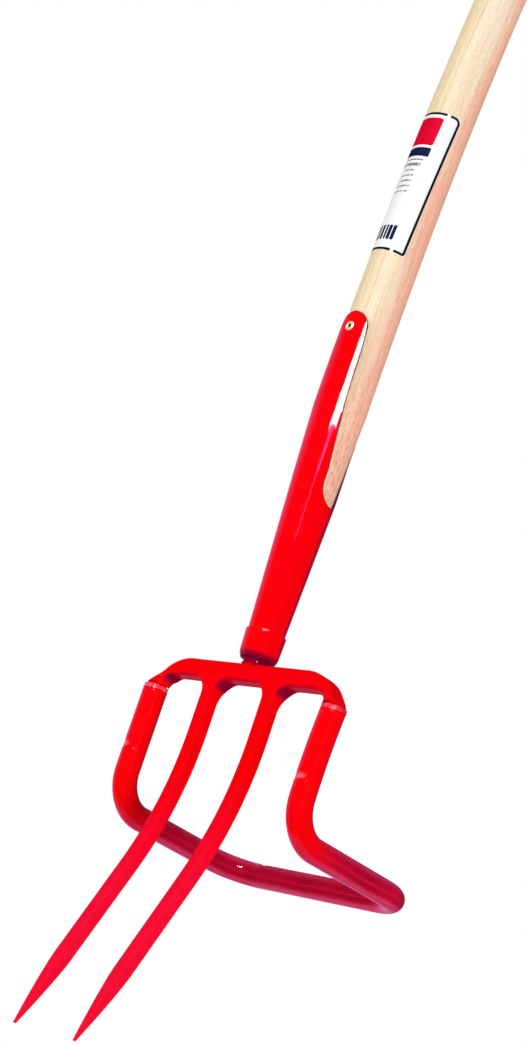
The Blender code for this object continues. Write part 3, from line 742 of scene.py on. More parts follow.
def past_node(mesh, node):
    """How far a mesh stands out of its node's box along X, Y and Z, in millimetres."""
    low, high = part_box(node)
    past = []
    for axis in range(3):
        places = [vert.co[axis] for vert in mesh.vertices]
        past.append(round(max(low[axis] - min(places), max(places) - high[axis]) / MM, 1))
    return past


def make_piece(name, made, node, finish, crease=50.0):
    """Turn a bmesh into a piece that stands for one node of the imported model."""
    mesh = bpy.data.meshes.new(name)
    made.to_mesh(mesh)
    made.free()
    mesh.shade_smooth()
    mesh.set_sharp_from_angle(angle=radians(crease))
    mesh.materials.append(finish.material)
    piece = bpy.data.objects.new(name, mesh)
    bpy.context.scene.collection.objects.link(piece)
    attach(piece, "root")
    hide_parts(node)
    print(name, len(mesh.polygons), "faces, past its node by", past_node(mesh, node), "mm")
    return piece


def give_wall(piece, name, thickness, offset):
    """Give an open skin its wall: inwards with an offset of -1, outwards with 1."""
    wall = piece.modifiers.new(name, "SOLIDIFY")
    wall.thickness = thickness * MM
    wall.offset = offset
    return wall


def even_normals(piece):
    """Let the large faces decide how the small ones beside them are shaded."""
    even = piece.modifiers.new("Even normals", "WEIGHTED_NORMAL")
    even.keep_sharp = True


# %% [markdown]
# The crossbar, its shoulders and the two tines are one forging. Its front view is drawn with sharp corners,
# and each corner has the radius that rounds it. The outline is filled, pulled to the bar's thickness, and
# its upright corner edges are bevelled into fillets. Then the whole rim gets the small rounding that a
# forging die leaves.

# %% Draw the forging's corners
BAR_TOP = 7.0
BAR_FOOT = -7.0
BAR_THICKNESS = 16.0
TINE_X = 31.0
TINE_WIDTH = 11.5
TIP_Z = -290.0
SHOULDER_FOOT = -17.2
SHOULDER_SLOPE = radians(48.0)
FILLET = 13.0
INNER_FILLET = 9.9
TUBE_RADIUS = 9.5
LEG_X = 90.0
LEG_SPLAY = 3.0
LEFT_SHOULDER_RADIUS = 31.0
LEFT_OVERHANG = 4.2
RIGHT_SHOULDER_RADIUS = 36.0
RIGHT_OVERHANG = 7.3
BAR_MIDDLE = (BAR_THICKNESS - TINE_WIDTH) / 2


def half_front(leg_x, shoulder_radius, overhang):
    """Corners of one half, from the top to the middle opening: x, z and the rounding's radius."""
    outer = leg_x + overhang
    shoulder = outer - (BAR_TOP - SHOULDER_FOOT) / tan(SHOULDER_SLOPE)
    tine_out = TINE_X + TINE_WIDTH / 2
    tine_in = TINE_X - TINE_WIDTH / 2
    return [
        (shoulder, BAR_TOP, shoulder_radius), (outer, SHOULDER_FOOT, 0.0),
        (leg_x - TUBE_RADIUS, SHOULDER_FOOT, 0.0), (leg_x - TUBE_RADIUS, BAR_FOOT, INNER_FILLET),
        (tine_out, BAR_FOOT, FILLET), (tine_out, TIP_Z, 0.0),
        (tine_in, TIP_Z, 0.0), (tine_in, BAR_FOOT, FILLET),
    ]


right_half = half_front(LEG_X + LEG_SPLAY, RIGHT_SHOULDER_RADIUS, RIGHT_OVERHANG)
left_half = half_front(LEG_X, LEFT_SHOULDER_RADIUS, LEFT_OVERHANG)
corners = right_half + [(-x, z, radius) for x, z, radius in reversed(left_half)]
print(len(corners), "corners")

# %% Pull the outline to a plate and round its corners
EDGE_ROUNDING = 3.0

forging = bmesh.new()
outline = [forging.verts.new(point(x, -TINE_WIDTH / 2, z)) for x, z, _ in corners]
front_face = forging.faces.new(outline)
pulled = bmesh.ops.extrude_face_region(forging, geom=[front_face])
back_corners = [item for item in pulled["geom"] if isinstance(item, bmesh.types.BMVert)]
bmesh.ops.translate(forging, verts=back_corners, vec=point(0.0, BAR_THICKNESS, 0.0))
bmesh.ops.recalc_face_normals(forging, faces=forging.faces[:])
for x, z, radius in corners:
    if not radius:
        continue
    spot = point(x, 0.0, z)
    upright = [edge for edge in forging.edges
               if all((Vector((end.co.x, 0.0, end.co.z)) - spot).length < 0.01 * MM for end in edge.verts)]
    turn = SHOULDER_SLOPE if z == BAR_TOP else pi / 2
    bmesh.ops.bevel(forging, geom=upright, offset=radius * tan(turn / 2) * MM, offset_type="OFFSET",
                    segments=14, profile=0.5, affect="EDGES", material=-1, clamp_overlap=False)
print(len(forging.faces), "faces after the fillets")

# %% Round the rim
SLICES = 132
FIRST_SLICE = 1.2
SLICE_GAP = 2.2

rim = [edge for edge in forging.edges
       if len(edge.link_faces) == 2 and edge.calc_face_angle() > radians(60)
       and abs(edge.verts[0].co.y - edge.verts[1].co.y) < 0.1 * MM]
bmesh.ops.bevel(forging, geom=rim, offset=EDGE_ROUNDING * MM, segments=5, profile=0.5, affect="EDGES",
                material=-1, clamp_overlap=False)
for step in range(SLICES):
    height = BAR_TOP - FIRST_SLICE - SLICE_GAP * step
    bmesh.ops.bisect_plane(forging, geom=forging.verts[:] + forging.edges[:] + forging.faces[:],
                           plane_co=point(0.0, 0.0, height), plane_no=(0.0, 0.0, 1.0), dist=1e-7)
print(len(forging.faces), "faces after slicing")

# %% [markdown]
# The smith draws the tines out of the bar. Their back comes down to the tine's own thickness just below the
# bar, they get thinner towards the point, and they are bent forwards over a former. The slices above give
# the bend enough vertices, and three small functions move them.

# %% Draw out, thin and bend the tines
BACK_TAPER_END = BAR_FOOT - FILLET - 6.0
BEND_START = -46.0
BEND_RADIUS = 300.0
BEND_ANGLE = radians(22.3)
POINT_LENGTH = 54.0
POINT_RADIUS = 0.9
THINNING = 0.93


def eased(share):
    share = min(max(share, 0.0), 1.0)
    return share * share * (3 - 2 * share)


def taper_back(x, y, z):
    """Bring the thick bar's back down to the tine, with the front kept flush."""
    if abs(x) > TINE_X + TINE_WIDTH / 2 + FILLET + 1:
        return y
    share = eased((BAR_FOOT - 1 - z) / (BAR_FOOT - 1 - BACK_TAPER_END))
    thickness = BAR_THICKNESS + (TINE_WIDTH - BAR_THICKNESS) * share
    return (y + TINE_WIDTH / 2) * thickness / BAR_THICKNESS - TINE_WIDTH / 2


def tine_scale(z):
    """How thick the tine still is at a height, as a share of its full width."""
    point_start = TIP_Z + POINT_LENGTH
    if z >= BEND_START:
        return 1.0
    if z >= point_start:
        return 1 - (1 - THINNING) * (BEND_START - z) / (BEND_START - point_start)
    share = (point_start - z) / POINT_LENGTH
    return THINNING + (2 * POINT_RADIUS / TINE_WIDTH - THINNING) * share**1.35


def bent(y, z):
    """Carry a point of the straight tine onto the bent one, square to its line."""
    if z >= BEND_START:
        return y, z
    fall = BEND_START - TIP_Z
    straight_part = (fall - BEND_RADIUS * sin(BEND_ANGLE)) / cos(BEND_ANGLE)
    length = (BEND_START - z) * (BEND_RADIUS * BEND_ANGLE + straight_part) / fall
    angle = min(length, BEND_RADIUS * BEND_ANGLE) / BEND_RADIUS
    rest = max(length - BEND_RADIUS * BEND_ANGLE, 0.0)
    line_y = -BEND_RADIUS * (1 - cos(angle)) - rest * sin(angle)
    line_z = BEND_START - BEND_RADIUS * sin(angle) - rest * cos(angle)
    return line_y + y * cos(angle), line_z - y * sin(angle)


for vert in forging.verts:
    x, y, z = vert.co / MM
    y = taper_back(x, y, z)
    middle = TINE_X if x > 0 else -TINE_X
    scale = tine_scale(z)
    if z < BEND_START:
        x = middle + (x - middle) * scale
        y = y * scale
    y, z = bent(y, z)
    vert.co = point(x, y, z)
print("tips reach z", round(min(vert.co.z for vert in forging.verts) / MM, 1), "mm")

# %% [markdown]
# Where the flat shoulder meets the round tube, the smith sets it down over the tube's end, so that the flat
# runs into the round. The lowest part of each shoulder gets the depth that a circle has there.

# %% Round the shoulders' feet
ROUND_START = -8.5
OUTER_START = 5.0
OUTER_START_X = 12.0
OUTER_RUN = 14.0
THINNEST = 2.6

for vert in forging.verts:
    x, y, z = vert.co / MM
    leg = LEG_X + LEG_SPLAY if x > 0 else LEG_X
    if abs(x) < TINE_X + TINE_WIDTH / 2 + FILLET + 2:
        continue
    outside = eased((abs(x) - leg + OUTER_START_X) / OUTER_RUN)
    share = eased((ROUND_START - z) / (ROUND_START - SHOULDER_FOOT))
    outer_share = eased((OUTER_START - z) / (OUTER_START - SHOULDER_FOOT)) * outside
    depth = sqrt(max(TUBE_RADIUS**2 - (abs(x) - leg) ** 2, THINNEST**2))
    rounded = (y - BAR_MIDDLE) * 2 * depth / BAR_THICKNESS
    vert.co.y = (y + (rounded - y) * max(share, outer_share)) * MM
print("shoulders rounded from z", ROUND_START)

# %% [markdown]
# Below the shoulders two stubs plug into the lever's tube, and above the bar a neck stands up into the
# socket. The neck flares as it leaves the bar and is cranked a little backwards. Little of it shows, but
# from below it does.

# %% Add the stubs and the neck
SOCKET_BACK = 4.8
SOCKET_FOOT = 12.0
NECK_WAIST = 7.0
NECK_TOP = 40.0
NECK_RADIUS = 11.3
STUB_RADIUS = 7.2
STUB_TOP = SHOULDER_FOOT + 1.0
STUB_FOOT = -41.0
STUB_CHAMFER = 1.5
# The splay is not quite complete at the height of the joint.
RIGHT_JOINT_X = LEG_X + LEG_SPLAY - 0.3


def crank_back(made):
    """Lead a neck from the middle of the bar back to the socket's axis."""
    for vert in made.verts:
        share = min(max((vert.co.z / MM - BAR_TOP) / (SOCKET_FOOT - BAR_TOP), 0.0), 1.0)
        vert.co.y += (BAR_MIDDLE + (SOCKET_BACK - BAR_MIDDLE) * share) * MM


neck = turned([
    (0.0, NECK_TOP), (NECK_RADIUS - 1.5, NECK_TOP), (NECK_RADIUS, NECK_TOP - 1.5),
    (NECK_RADIUS, SOCKET_FOOT), (NECK_RADIUS - 1.6, 10.6), (NECK_WAIST + 0.6, 8.4),
    (NECK_WAIST, 7.3), (NECK_WAIST + 0.4, BAR_TOP - 0.8), (0.0, BAR_TOP - 2.0),
], 64, ring=False)
crank_back(neck)
add_shape(forging, neck)
for stub_x in (-LEG_X, RIGHT_JOINT_X):
    stub = turned([(0.0, STUB_TOP), (STUB_RADIUS, STUB_TOP), (STUB_RADIUS, STUB_FOOT + STUB_CHAMFER),
                   (STUB_RADIUS - STUB_CHAMFER, STUB_FOOT), (0.0, STUB_FOOT)], 32, ring=False)
    bmesh.ops.translate(stub, verts=stub.verts[:], vec=point(stub_x, 0.0, 0.0))
    add_shape(forging, stub)
forged_head = make_piece("forged_head", forging, "fork_head", forged_enamel, crease=60.0)
even_normals(forged_head)

# %% [markdown]
# The lever is one length of tube, cold bent on a bending machine. Its maker goes straight, round, straight
# and round again, and so does the code: a ring of edges is swept along each straight and spun round each
# bend. The wall goes on at the end.


# %% Sweep a ring of edges
NOWHERE = (0.0, 0.0, 0.0)
SIDEWAYS = (1.0, 0.0, 0.0)


def sweep(made, ring, steps, centre=NOWHERE, axis=SIDEWAYS, angle=0.0, travel=NOWHERE):
    """Carry a ring of edges along a straight or round a bend, and return the last ring."""
    corners_of_ring = list({vert for edge in ring for vert in edge.verts})
    result = bmesh.ops.spin(made, geom=corners_of_ring + ring, cent=centre, axis=axis, angle=angle,
                            steps=steps, dvec=Vector(travel) / steps)
    return [item for item in result["geom_last"] if isinstance(item, bmesh.types.BMEdge)]


TUBE_TOP = -20.8
LEG_LENGTH = 64.0
LEVER_BEND = 30.0
LEVER_ANGLE = radians(88.0)
ARM_LENGTH = 85.98
TUBE_WALL = 2.0
TUBE_SIDES = 56
BEND_STEPS = 26
LEG_STEPS = 40
ARM_STEPS = 36
REAR_STEPS = 60

lever = bmesh.new()
bmesh.ops.create_circle(lever, cap_ends=False, segments=TUBE_SIDES, radius=TUBE_RADIUS * MM)
bmesh.ops.translate(lever, verts=lever.verts[:], vec=point(LEG_X, 0.0, TUBE_TOP))
ring = lever.edges[:]
leg_foot = TUBE_TOP - LEG_LENGTH
arm = Vector((0.0, sin(LEVER_ANGLE), -cos(LEVER_ANGLE)))
bend_axis = (0.0, cos(LEVER_ANGLE), sin(LEVER_ANGLE))
bend_back = LEVER_BEND * (1 - cos(LEVER_ANGLE))
bend_drop = LEVER_BEND * sin(LEVER_ANGLE)
arm_end = Vector((LEG_X, bend_back, leg_foot - bend_drop)) + arm * ARM_LENGTH
inward = Vector((-LEVER_BEND, 0.0, 0.0))
print("arm ends at", [round(value, 1) for value in arm_end])

# %% Bend the lever
ring = sweep(lever, ring, LEG_STEPS, travel=point(0.0, 0.0, -LEG_LENGTH))
ring = sweep(lever, ring, BEND_STEPS, centre=point(LEG_X, LEVER_BEND, leg_foot), angle=LEVER_ANGLE)
ring = sweep(lever, ring, ARM_STEPS, travel=arm * ARM_LENGTH * MM)
ring = sweep(lever, ring, BEND_STEPS, centre=(arm_end + inward) * MM, axis=bend_axis, angle=pi / 2)
ring = sweep(lever, ring, REAR_STEPS, travel=point(-2 * (LEG_X - LEVER_BEND), 0.0, 0.0))
other_end = Vector((-arm_end.x, arm_end.y, arm_end.z))
ring = sweep(lever, ring, BEND_STEPS, centre=(other_end - inward) * MM, axis=bend_axis, angle=pi / 2)
ring = sweep(lever, ring, ARM_STEPS, travel=-arm * ARM_LENGTH * MM)
ring = sweep(lever, ring, BEND_STEPS, centre=point(-LEG_X, LEVER_BEND, leg_foot), angle=-LEVER_ANGLE)
ring = sweep(lever, ring, LEG_STEPS, travel=point(0.0, 0.0, LEG_LENGTH))
bmesh.ops.remove_doubles(lever, verts=lever.verts[:], dist=0.001 * MM)
bmesh.ops.recalc_face_normals(lever, faces=lever.faces[:])
print("last ring at", [round(value / MM, 1) for value in ring[0].verts[0].co])

# %% [markdown]
# The bending machine grips the tube beside each bend, and its jaw leaves a shallow dent. The right leg also
# stands out a little towards its top. Both are small moves of the vertices.

# %% Dent and splay the tube
SPLAY_START = -77.2
SPLAY_HEIGHT = 60.0
DENT_WIDTH = 9.0
DENT_BEHIND = 2.2
DENT_AHEAD = 6.0
CORNER_DENT = Vector((61.0, arm_end.y + LEVER_BEND - 6.0, arm_end.z + 6.0))
JAW_DENTS = (
    # The dent's middle, the way its face looks, and its depth.
    (point(LEG_X, -TUBE_RADIUS, -73.0), Vector((-0.55, -0.83, 0.0)), 1.1),
    (point(-LEG_X, -TUBE_RADIUS, -68.0), Vector((-0.25, -0.97, 0.0)), 1.1),
    (point(-CORNER_DENT.x, CORNER_DENT.y, CORNER_DENT.z), Vector((0.0, -0.6, 0.8)), 0.8),
    (point(CORNER_DENT.x, CORNER_DENT.y, CORNER_DENT.z), Vector((0.0, -0.6, 0.8)), 0.8),
)
for middle, look, depth in JAW_DENTS:
    on_rear_bar = middle.y > 0
    lengthwise = Vector((1.0, 0.0, 0.0)) if on_rear_bar else Vector((0.0, 0.0, 1.0))
    for vert in lever.verts:
        offset = (vert.co - middle) / MM
        away = offset.dot(lengthwise)
        beside = (offset - away * lengthwise).length
        reach = DENT_AHEAD if away > 0 else DENT_BEHIND
        if abs(away) < reach and beside < DENT_WIDTH:
            press = depth * (1 - (away / reach) ** 2) * (1 - (beside / DENT_WIDTH) ** 2)
            vert.co -= look * press * MM
for vert in lever.verts:
    if vert.co.x > 0:
        share = max(vert.co.z / MM - SPLAY_START, 0.0) / SPLAY_HEIGHT
        vert.co.x += LEG_SPLAY * share**2 * MM
bent_lever = make_piece("bent_lever", lever, "lever_tube", lever_enamel)
give_wall(bent_lever, "Wall", TUBE_WALL, -1.0)

# %% [markdown]
# A weld bead is a row of small overlapping puddles. Paint softens the ripples, but they still break up the
# gloss. The bead is a turned ring with a crowned section, and each vertex moves in and out with the puddles
# round it.


# %% Lay the weld beads
def ripple(made, puddles, depth, seed):
    """Move a bead's skin in and out round its axis, as overlapping puddles do."""
    for vert in made.verts:
        angle = atan2(vert.co.y, vert.co.x)
        wave = abs(sin(angle * puddles / 2 + 0.6 * sin(3 * angle + seed)))
        drift = noise.noise(Vector((cos(angle) * 2, sin(angle) * 2, seed)))
        outwards = Vector((vert.co.x, vert.co.y, 0.0)).normalized()
        vert.co += outwards * depth * (wave - 0.6 + 1.2 * drift) * MM


BEAD_REACH = 10.1
BEAD_BORE = STUB_RADIUS + 0.3


def shoulder_bead(name, x, overhang, node, lump, seed):
    """The bead that closes the step between the tube's end and the shoulder."""
    made = turned([
        (BEAD_BORE, -17.5), (TUBE_RADIUS - 0.7, -17.35), (TUBE_RADIUS - 0.1, -17.6),
        (TUBE_RADIUS - 0.05, -18.2), (TUBE_RADIUS - 0.3, -18.9), (TUBE_RADIUS - 0.25, -19.6),
        (TUBE_RADIUS + 0.05, -20.2), (TUBE_RADIUS + 0.05, -20.7), (BEAD_BORE, -20.7),
    ], 120)
    ripple(made, puddles=22, depth=0.12, seed=seed)
    side = 1 if x > 0 else -1
    for vert in made.verts:
        outwards = Vector((vert.co.x, vert.co.y, 0.0)).normalized()
        vert.co += outwards * lump * max(side * outwards.x, 0.0) ** 6 * MM
        slope_end = overhang + (SHOULDER_FOOT - vert.co.z / MM) / tan(SHOULDER_SLOPE) + 0.7
        vert.co.x = side * min(side * vert.co.x, slope_end * MM, BEAD_REACH * MM)
    bmesh.ops.translate(made, verts=made.verts[:], vec=point(x, 0.0, 0.0))
    return make_piece(name, made, node, bead_enamel)


shoulder_bead("bead_left", -LEG_X, LEFT_OVERHANG, "weld_left", lump=0.3, seed=1.0)
shoulder_bead("bead_right", RIGHT_JOINT_X, RIGHT_OVERHANG, "weld_right", lump=1.0, seed=2.0)

# %% Lay the bead round the neck
neck_bead = turned([
    (NECK_WAIST + 0.5, BAR_TOP + 0.3), (NECK_WAIST + 2.0, BAR_TOP + 0.25), (NECK_WAIST + 2.3, 7.6),
    (NECK_WAIST + 1.8, 8.4), (NECK_WAIST + 1.7, 9.2), (NECK_WAIST + 2.0, 9.9), (NECK_WAIST + 1.2, 9.9),
], 140)
ripple(neck_bead, puddles=18, depth=0.35, seed=4.0)
crank_back(neck_bead)
make_piece("bead_neck", neck_bead, "neck_weld", enamel)

# %% [markdown]
# The socket is sheet steel rolled to a cone. Above a U-shaped slot on each side it goes on as two tongues:
# a long strap in front, with the rivet, and a short one behind that is hammered down onto the wood. Each
# side is a grid whose columns are angles and whose rows are heights. Below the slots the two grids meet,
# and above them each is as wide as its tongue.

# %% Measure the socket
SOCKET_RADIUS = 13.4
SOCKET_TAPER = 0.0417
STRAP_RADIUS = 22.1
SHEET = 1.8
SLOT_FOOT = 140.0
SLOT_RADIUS = 14.7
REAR_SLOT_RADIUS = 7.5
SLOT_SEAM = radians(106.0)
STRAP_TIP = 298.0
STRAP_TIP_RADIUS = 14.3
STRAP_WIDTHS = (
    # The height above the slot's foot, and half the strap's width there.
    (0.0, 16.0), (12.0, 16.2), (26.5, 17.4), (65.5, 16.8), (91.5, 16.0), (125.5, 15.4), (143.5, 14.3),
)
TONGUE_TIP = 208.0
TONGUE_RADIUS = 16.0
TONGUE_SHARE = 0.79
TONGUE_SINK = 1.6
TONGUE_SINK_LENGTH = 55.0
BOW_START = 161.2
BOW_RADIUS = 4250.0
BOW_LENGTH = 540.0


def socket_radius(z):
    return min(SOCKET_RADIUS + SOCKET_TAPER * (z - SOCKET_FOOT), STRAP_RADIUS)


def axis_at(z):
    """How far back the axis of the socket and the handle lies at a height, and its slope."""
    if z <= BOW_START:
        return SOCKET_BACK, 0.0
    bow_angle = BOW_LENGTH / BOW_RADIUS
    bow_end = BOW_START + BOW_RADIUS * sin(bow_angle)
    angle = asin((min(z, bow_end) - BOW_START) / BOW_RADIUS)
    back = SOCKET_BACK + BOW_RADIUS * (1 - cos(angle)) + max(z - bow_end, 0.0) * tan(angle)
    return back, angle


def strap_width(z):
    """Half the strap's width in the front view, read between the measured places."""
    rise = min(max(z - SLOT_FOOT, 0.0), STRAP_WIDTHS[-1][0])
    for (low, wide), (high, narrow) in zip(STRAP_WIDTHS, STRAP_WIDTHS[1:]):
        if rise <= high:
            return wide + (narrow - wide) * (rise - low) / (high - low)
    return STRAP_WIDTHS[-1][1]


print("the cone ends at z", round(SOCKET_FOOT + (STRAP_RADIUS - SOCKET_RADIUS) / SOCKET_TAPER, 1))


# %% Roll the socket
def half_angle(z, tip, tip_radius, width_share, seam, slot_radius):
    """Half the angle that the sheet covers at a height. Below the slots, the two sides meet at the seam."""
    radius = socket_radius(z)
    if z <= SLOT_FOOT:
        return seam
    rise = z - SLOT_FOOT
    below_centre = 1 - min(rise / slot_radius, 1.0)
    opened = seam - slot_radius * sqrt(1 - below_centre**2) / radius
    width = strap_width(z) * width_share
    past = z - (tip - tip_radius)
    if past > 0:
        width = min(width, sqrt(max(tip_radius**2 - past**2, 0.0)))
    strap = asin(min(width / radius, 1.0))
    blend = eased((rise - slot_radius * 0.6) / (slot_radius * 1.4))
    return opened * (1 - blend) + min(strap, opened if rise < slot_radius else strap) * blend


CONE_ROWS = 30
SLOT_ROWS = 22
STRAIGHT_STEP = 1.5
TIP_ANGLES = (8, 16, 24, 32, 40, 47, 54, 60)
COLUMNS = 40


def socket_rows(tip, tip_radius):
    """Heights of the grid's rows, closer together round the slot's foot and the rounded tip."""
    rows = [SOCKET_FOOT + (SLOT_FOOT - SOCKET_FOOT) * step / CONE_ROWS for step in range(CONE_ROWS + 1)]
    rows += [SLOT_FOOT + 2 * SLOT_RADIUS * (step / SLOT_ROWS) ** 1.8 for step in range(1, SLOT_ROWS + 1)]
    straight_end = tip - tip_radius
    start = rows[-1]
    count = max(int((straight_end - start) / STRAIGHT_STEP), 2)
    rows += [start + (straight_end - start) * step / count for step in range(1, count + 1)]
    rows += [straight_end + tip_radius * sin(radians(angle)) for angle in TIP_ANGLES]
    return rows


def socket_half(front, tip, tip_radius, width_share=1.0):
    """One half of the socket as an open skin."""
    rows = socket_rows(tip, tip_radius)
    seam = SLOT_SEAM if front else pi - SLOT_SEAM
    slot_radius = SLOT_RADIUS if front else REAR_SLOT_RADIUS
    made = bmesh.new()
    bmesh.ops.create_grid(made, x_segments=COLUMNS, y_segments=len(rows) - 1, size=0.5)
    for vert in made.verts:
        z = rows[round((vert.co.y + 0.5) * (len(rows) - 1))]
        share = vert.co.x * 2
        angle = share * half_angle(z, tip, tip_radius, width_share, seam, slot_radius)
        if z == rows[-1]:
            width = abs(socket_radius(z) * sin(angle))
            z = tip - tip_radius + sqrt(tip_radius**2 - width**2)
        radius = socket_radius(z)
        if not front:
            radius -= TONGUE_SINK * eased((z - SLOT_FOOT) / TONGUE_SINK_LENGTH)
        back = axis_at(z)[0]
        y = -radius * cos(angle) if front else radius * cos(angle)
        vert.co = point(radius * sin(angle), back + y, z)
    return made


socket = socket_half(True, STRAP_TIP, STRAP_TIP_RADIUS)
print(len(socket.faces), "faces in front")

# %% Punch the rivet's hole
hole = point(0.0, axis_at(RIVET_Z)[0] - STRAP_RADIUS, RIVET_Z)
punched = [vert for vert in socket.verts if (vert.co - hole).length < RIVET_SHANK * MM]
bmesh.ops.delete(socket, geom=punched, context="VERTS")
for edge in socket.edges:
    for vert in edge.verts:
        away = Vector((vert.co.x - hole.x, 0.0, vert.co.z - hole.z))
        if edge.is_boundary and away.length < 2 * RIVET_SHANK * MM:
            rim_spot = hole + away.normalized() * (RIVET_SHANK + 0.2) * MM
            vert.co.x = rim_spot.x
            vert.co.z = rim_spot.z
print(len(punched), "vertices punched out")

# %% Join the rear half and give the sheet its wall
RIM_SOFTNESS = 0.85
add_shape(socket, socket_half(False, TONGUE_TIP, TONGUE_RADIUS * TONGUE_SHARE, TONGUE_SHARE))
bmesh.ops.remove_doubles(socket, verts=socket.verts[:], dist=0.02 * MM)
bmesh.ops.recalc_face_normals(socket, faces=socket.faces[:])
rolled_socket = make_piece("rolled_socket", socket, "socket", enamel)
# The cut edge and its rounding get the nearly black edge enamel, as painted shade.
rolled_socket.data.materials.append(shaded_edge_enamel.material)
sheet_wall = give_wall(rolled_socket, "Sheet", SHEET, -1.0)
sheet_wall.material_offset_rim = 1
soft_rim = rolled_socket.modifiers.new("Soft rim", "BEVEL")
soft_rim.width = RIM_SOFTNESS * MM
soft_rim.material = 1
soft_rim.segments = 3
soft_rim.limit_method = "ANGLE"
soft_rim.angle_limit = radians(55)
soft_rim.use_clamp_overlap = False
even_normals(rolled_socket)

# %% [markdown]
# A short sleeve closes the socket's foot. It is a turned ring: its top edge is crisp, and its lower edge is
# rounded over where it was pressed on.

# %% Turn the collar
COLLAR_LOW = 12.3
COLLAR_HIGH = 34.3
COLLAR_WALL = 1.1
COLLAR_EDGE = 0.5
FOOT_CURL_HEIGHT = 4.6
FOOT_CURL_DEPTH = 3.4


def collar_radius(z):
    return socket_radius(z) + 0.3 + COLLAR_WALL


top_radius = collar_radius(COLLAR_HIGH)
foot_radius = collar_radius(COLLAR_LOW)
collar_outline = [(socket_radius(COLLAR_HIGH) + 0.1, COLLAR_HIGH), (top_radius - COLLAR_EDGE, COLLAR_HIGH),
                  (top_radius - 0.15, COLLAR_HIGH - 0.15), (top_radius, COLLAR_HIGH - COLLAR_EDGE)]
for step in range(1, 10):
    z = COLLAR_HIGH - COLLAR_EDGE - (COLLAR_HIGH - COLLAR_LOW - COLLAR_EDGE - FOOT_CURL_HEIGHT) * step / 9
    collar_outline.append((collar_radius(z), z))
for step in range(1, 9):
    turn = step / 8 * pi / 2
    curl_radius = foot_radius - FOOT_CURL_DEPTH * (1 - cos(turn))
    collar_outline.append((curl_radius, COLLAR_LOW + FOOT_CURL_HEIGHT * (1 - sin(turn))))
collar_outline.append((socket_radius(COLLAR_LOW) - 2.2, COLLAR_LOW + 0.2))
collar_outline.append((socket_radius(COLLAR_LOW) - 1.9, COLLAR_LOW + 1.2))
collar = turned(collar_outline, 96)
bmesh.ops.translate(collar, verts=collar.verts[:], vec=point(0.0, SOCKET_BACK, 0.0))
make_piece("pressed_collar", collar, "ferrule", enamel)

# %% [markdown]
# The rivet is a hollow one, whose end was rolled over with a punch. One outline, spun round its own axis,
# gives the shank, the rolled head and the bore. Its front head sits on the strap and its rear head on the
# wood.


# %% Roll the rivet
RIVET_HEAD = 4.0
RIVET_BORE = 1.55
RIVET_BORE_DEPTH = 6.5
RIVET_RISE = 0.9


def rivet_end(reach):
    """Half a rivet's outline as radius and distance from the middle, from the bore's bottom to the shank."""
    top = reach + RIVET_RISE
    rolled = [(RIVET_BORE, top - 0.9), (RIVET_BORE + 0.12, top - 0.45), (RIVET_BORE + 0.45, top - 0.12),
              (RIVET_BORE + 0.95, top), (RIVET_HEAD - 1.1, top - 0.05), (RIVET_HEAD - 0.45, top - 0.3),
              (RIVET_HEAD - 0.08, top - 0.6), (RIVET_HEAD, reach + 0.02)]
    bottom = top - RIVET_BORE_DEPTH
    return [(0.0, bottom), (RIVET_BORE, bottom)] + rolled + [(RIVET_SHANK, reach)]


front_end = rivet_end(STRAP_RADIUS + 0.05)
rear_end = rivet_end(HANDLE_RADIUS + 0.05)
rivet_outline = front_end + [(radius, -reach) for radius, reach in reversed(rear_end)]
rivet = turned(rivet_outline, 64, ring=False)
bmesh.ops.rotate(rivet, verts=rivet.verts[:], cent=(0.0, 0.0, 0.0), matrix=Matrix.Rotation(pi / 2, 3, "X"))
bmesh.ops.translate(rivet, verts=rivet.verts[:], vec=point(0.0, axis_at(RIVET_Z)[0], RIVET_Z))
make_piece("hollow_rivet", rivet, "strap_rivet", plating)

# %% [markdown]
# The handle is turned on a lathe and then bent a little. Its outline is spun round the axis, and each ring
# then moves to its place on the bow and tilts with it. Before that, every vertex notes its straight place
# for the grain.

# %% Turn the handle
HANDLE_FOOT = 41.2
HANDLE_TOP = 1131.0
END_ROUNDING = 14.0
END_STEPS = 12
BODY_STEPS = 90
LATHE_WOBBLE = 0.12


def handle_radius(z):
    return min(socket_radius(z) - SHEET - 0.3, HANDLE_RADIUS)


handle_outline = [(0.0, HANDLE_TOP)]
rounding_foot = HANDLE_TOP - END_ROUNDING
for step in range(END_STEPS + 1):
    turn = pi / 2 * (1 - step / END_STEPS)
    z = rounding_foot + END_ROUNDING * sin(turn)
    handle_outline.append((HANDLE_RADIUS - END_ROUNDING * (1 - cos(turn)), z))
for step in range(1, BODY_STEPS):
    z = rounding_foot - (rounding_foot - HANDLE_FOOT) * step / BODY_STEPS
    uneven = LATHE_WOBBLE * (noise.noise(Vector((0.0, 0.0, z * 0.02))) - 0.4)
    handle_outline.append((handle_radius(z) + uneven, z))
cone_end = handle_radius(HANDLE_FOOT)
handle_outline += [(cone_end, HANDLE_FOOT + 1.0), (cone_end - 1.0, HANDLE_FOOT), (0.0, HANDLE_FOOT)]
handle = turned(handle_outline, 96, ring=False)
straight_place = [vert.co.copy() for vert in handle.verts]
for vert in handle.verts:
    back, lean = axis_at(vert.co.z / MM)
    depth = vert.co.y
    vert.co.y = back * MM + depth * cos(lean)
    vert.co.z -= depth * sin(lean)
turned_handle = make_piece("turned_handle", handle, "handle", ash)
note = turned_handle.data.attributes.new("straight_place", "FLOAT_VECTOR", "POINT")
note.data.foreach_set("vector", [value for spot in straight_place for value in spot])

# %% [markdown]
# The label is stuck on slightly askew and wraps round the front of the handle. It is a fine grid: its
# columns become angles, its rows heights, and its UV map stays flat, as the print does. A corner or two
# lifts by a hair.

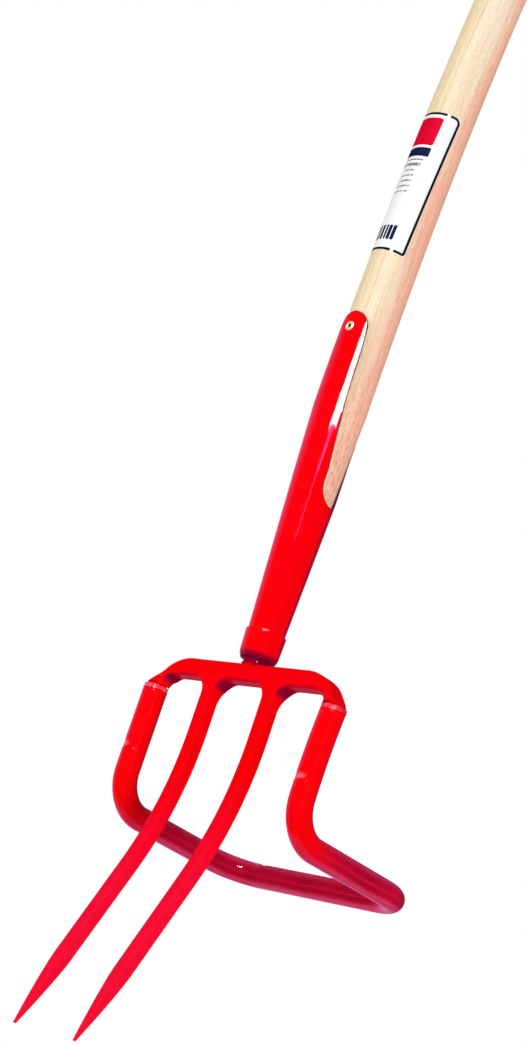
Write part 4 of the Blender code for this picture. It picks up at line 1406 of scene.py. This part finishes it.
# %% Stick on the label
LABEL_FOOT = 354.6
LABEL_TURN = radians(-1.5)
LABEL_SKEW = radians(1.9)
FOOT_STRETCH = 2.8
PAPER_LIFT = 0.12
CORNER_LIFT = 0.12
CORNER_SHARE = (0.1, 0.04)
PAPER_THICKNESS = 0.14
label = bmesh.new()
label.loops.layers.uv.new("sheet")
bmesh.ops.create_grid(label, x_segments=48, y_segments=96, size=0.5, calc_uvs=True)
for vert in label.verts:
    flat_x = vert.co.x * LABEL_WIDTH
    flat_z = vert.co.y * LABEL_HEIGHT
    side = flat_x * cos(LABEL_SKEW) + flat_z * sin(LABEL_SKEW)
    z = LABEL_FOOT + LABEL_HEIGHT / 2 + flat_z * cos(LABEL_SKEW) - flat_x * sin(LABEL_SKEW)
    z -= FOOT_STRETCH * (vert.co.x + 0.5) ** 2 * (0.5 - vert.co.y)
    to_corner_x = max((abs(vert.co.x) * 2 - 1) / CORNER_SHARE[0] + 1, 0.0)
    to_corner_z = max((abs(vert.co.y) * 2 - 1) / CORNER_SHARE[1] + 1, 0.0)
    waves = 0.05 * noise.noise(Vector((flat_x * 0.08, flat_z * 0.05, 0.0)))
    radius = HANDLE_RADIUS + PAPER_LIFT + CORNER_LIFT * to_corner_x * to_corner_z + waves
    angle = side / HANDLE_RADIUS + LABEL_TURN
    back, lean = axis_at(z)
    depth = -radius * cos(angle)
    vert.co = point(radius * sin(angle), back + depth * cos(lean), z - depth * sin(lean))
bmesh.ops.recalc_face_normals(label, faces=label.faces[:])
paper_label = make_piece("paper_label", label, "label", paper)
give_wall(paper_label, "Paper", PAPER_THICKNESS, 1.0)

# %% [markdown]
# The forging's rounded edges would catch the cards as thin white lines. A dull forged edge has none, so the
# cards shine on every other piece only.

# %% Keep the cards off the forging
shiny = bpy.data.collections.new("pieces_that_mirror_the_cards")
for item in bpy.data.objects:
    if item.type == "MESH" and item.name not in frame["nodes"] and item not in (floor, forged_head):
        shiny.objects.link(item)
for card in cards:
    card.light_linking.receiver_collection = shiny
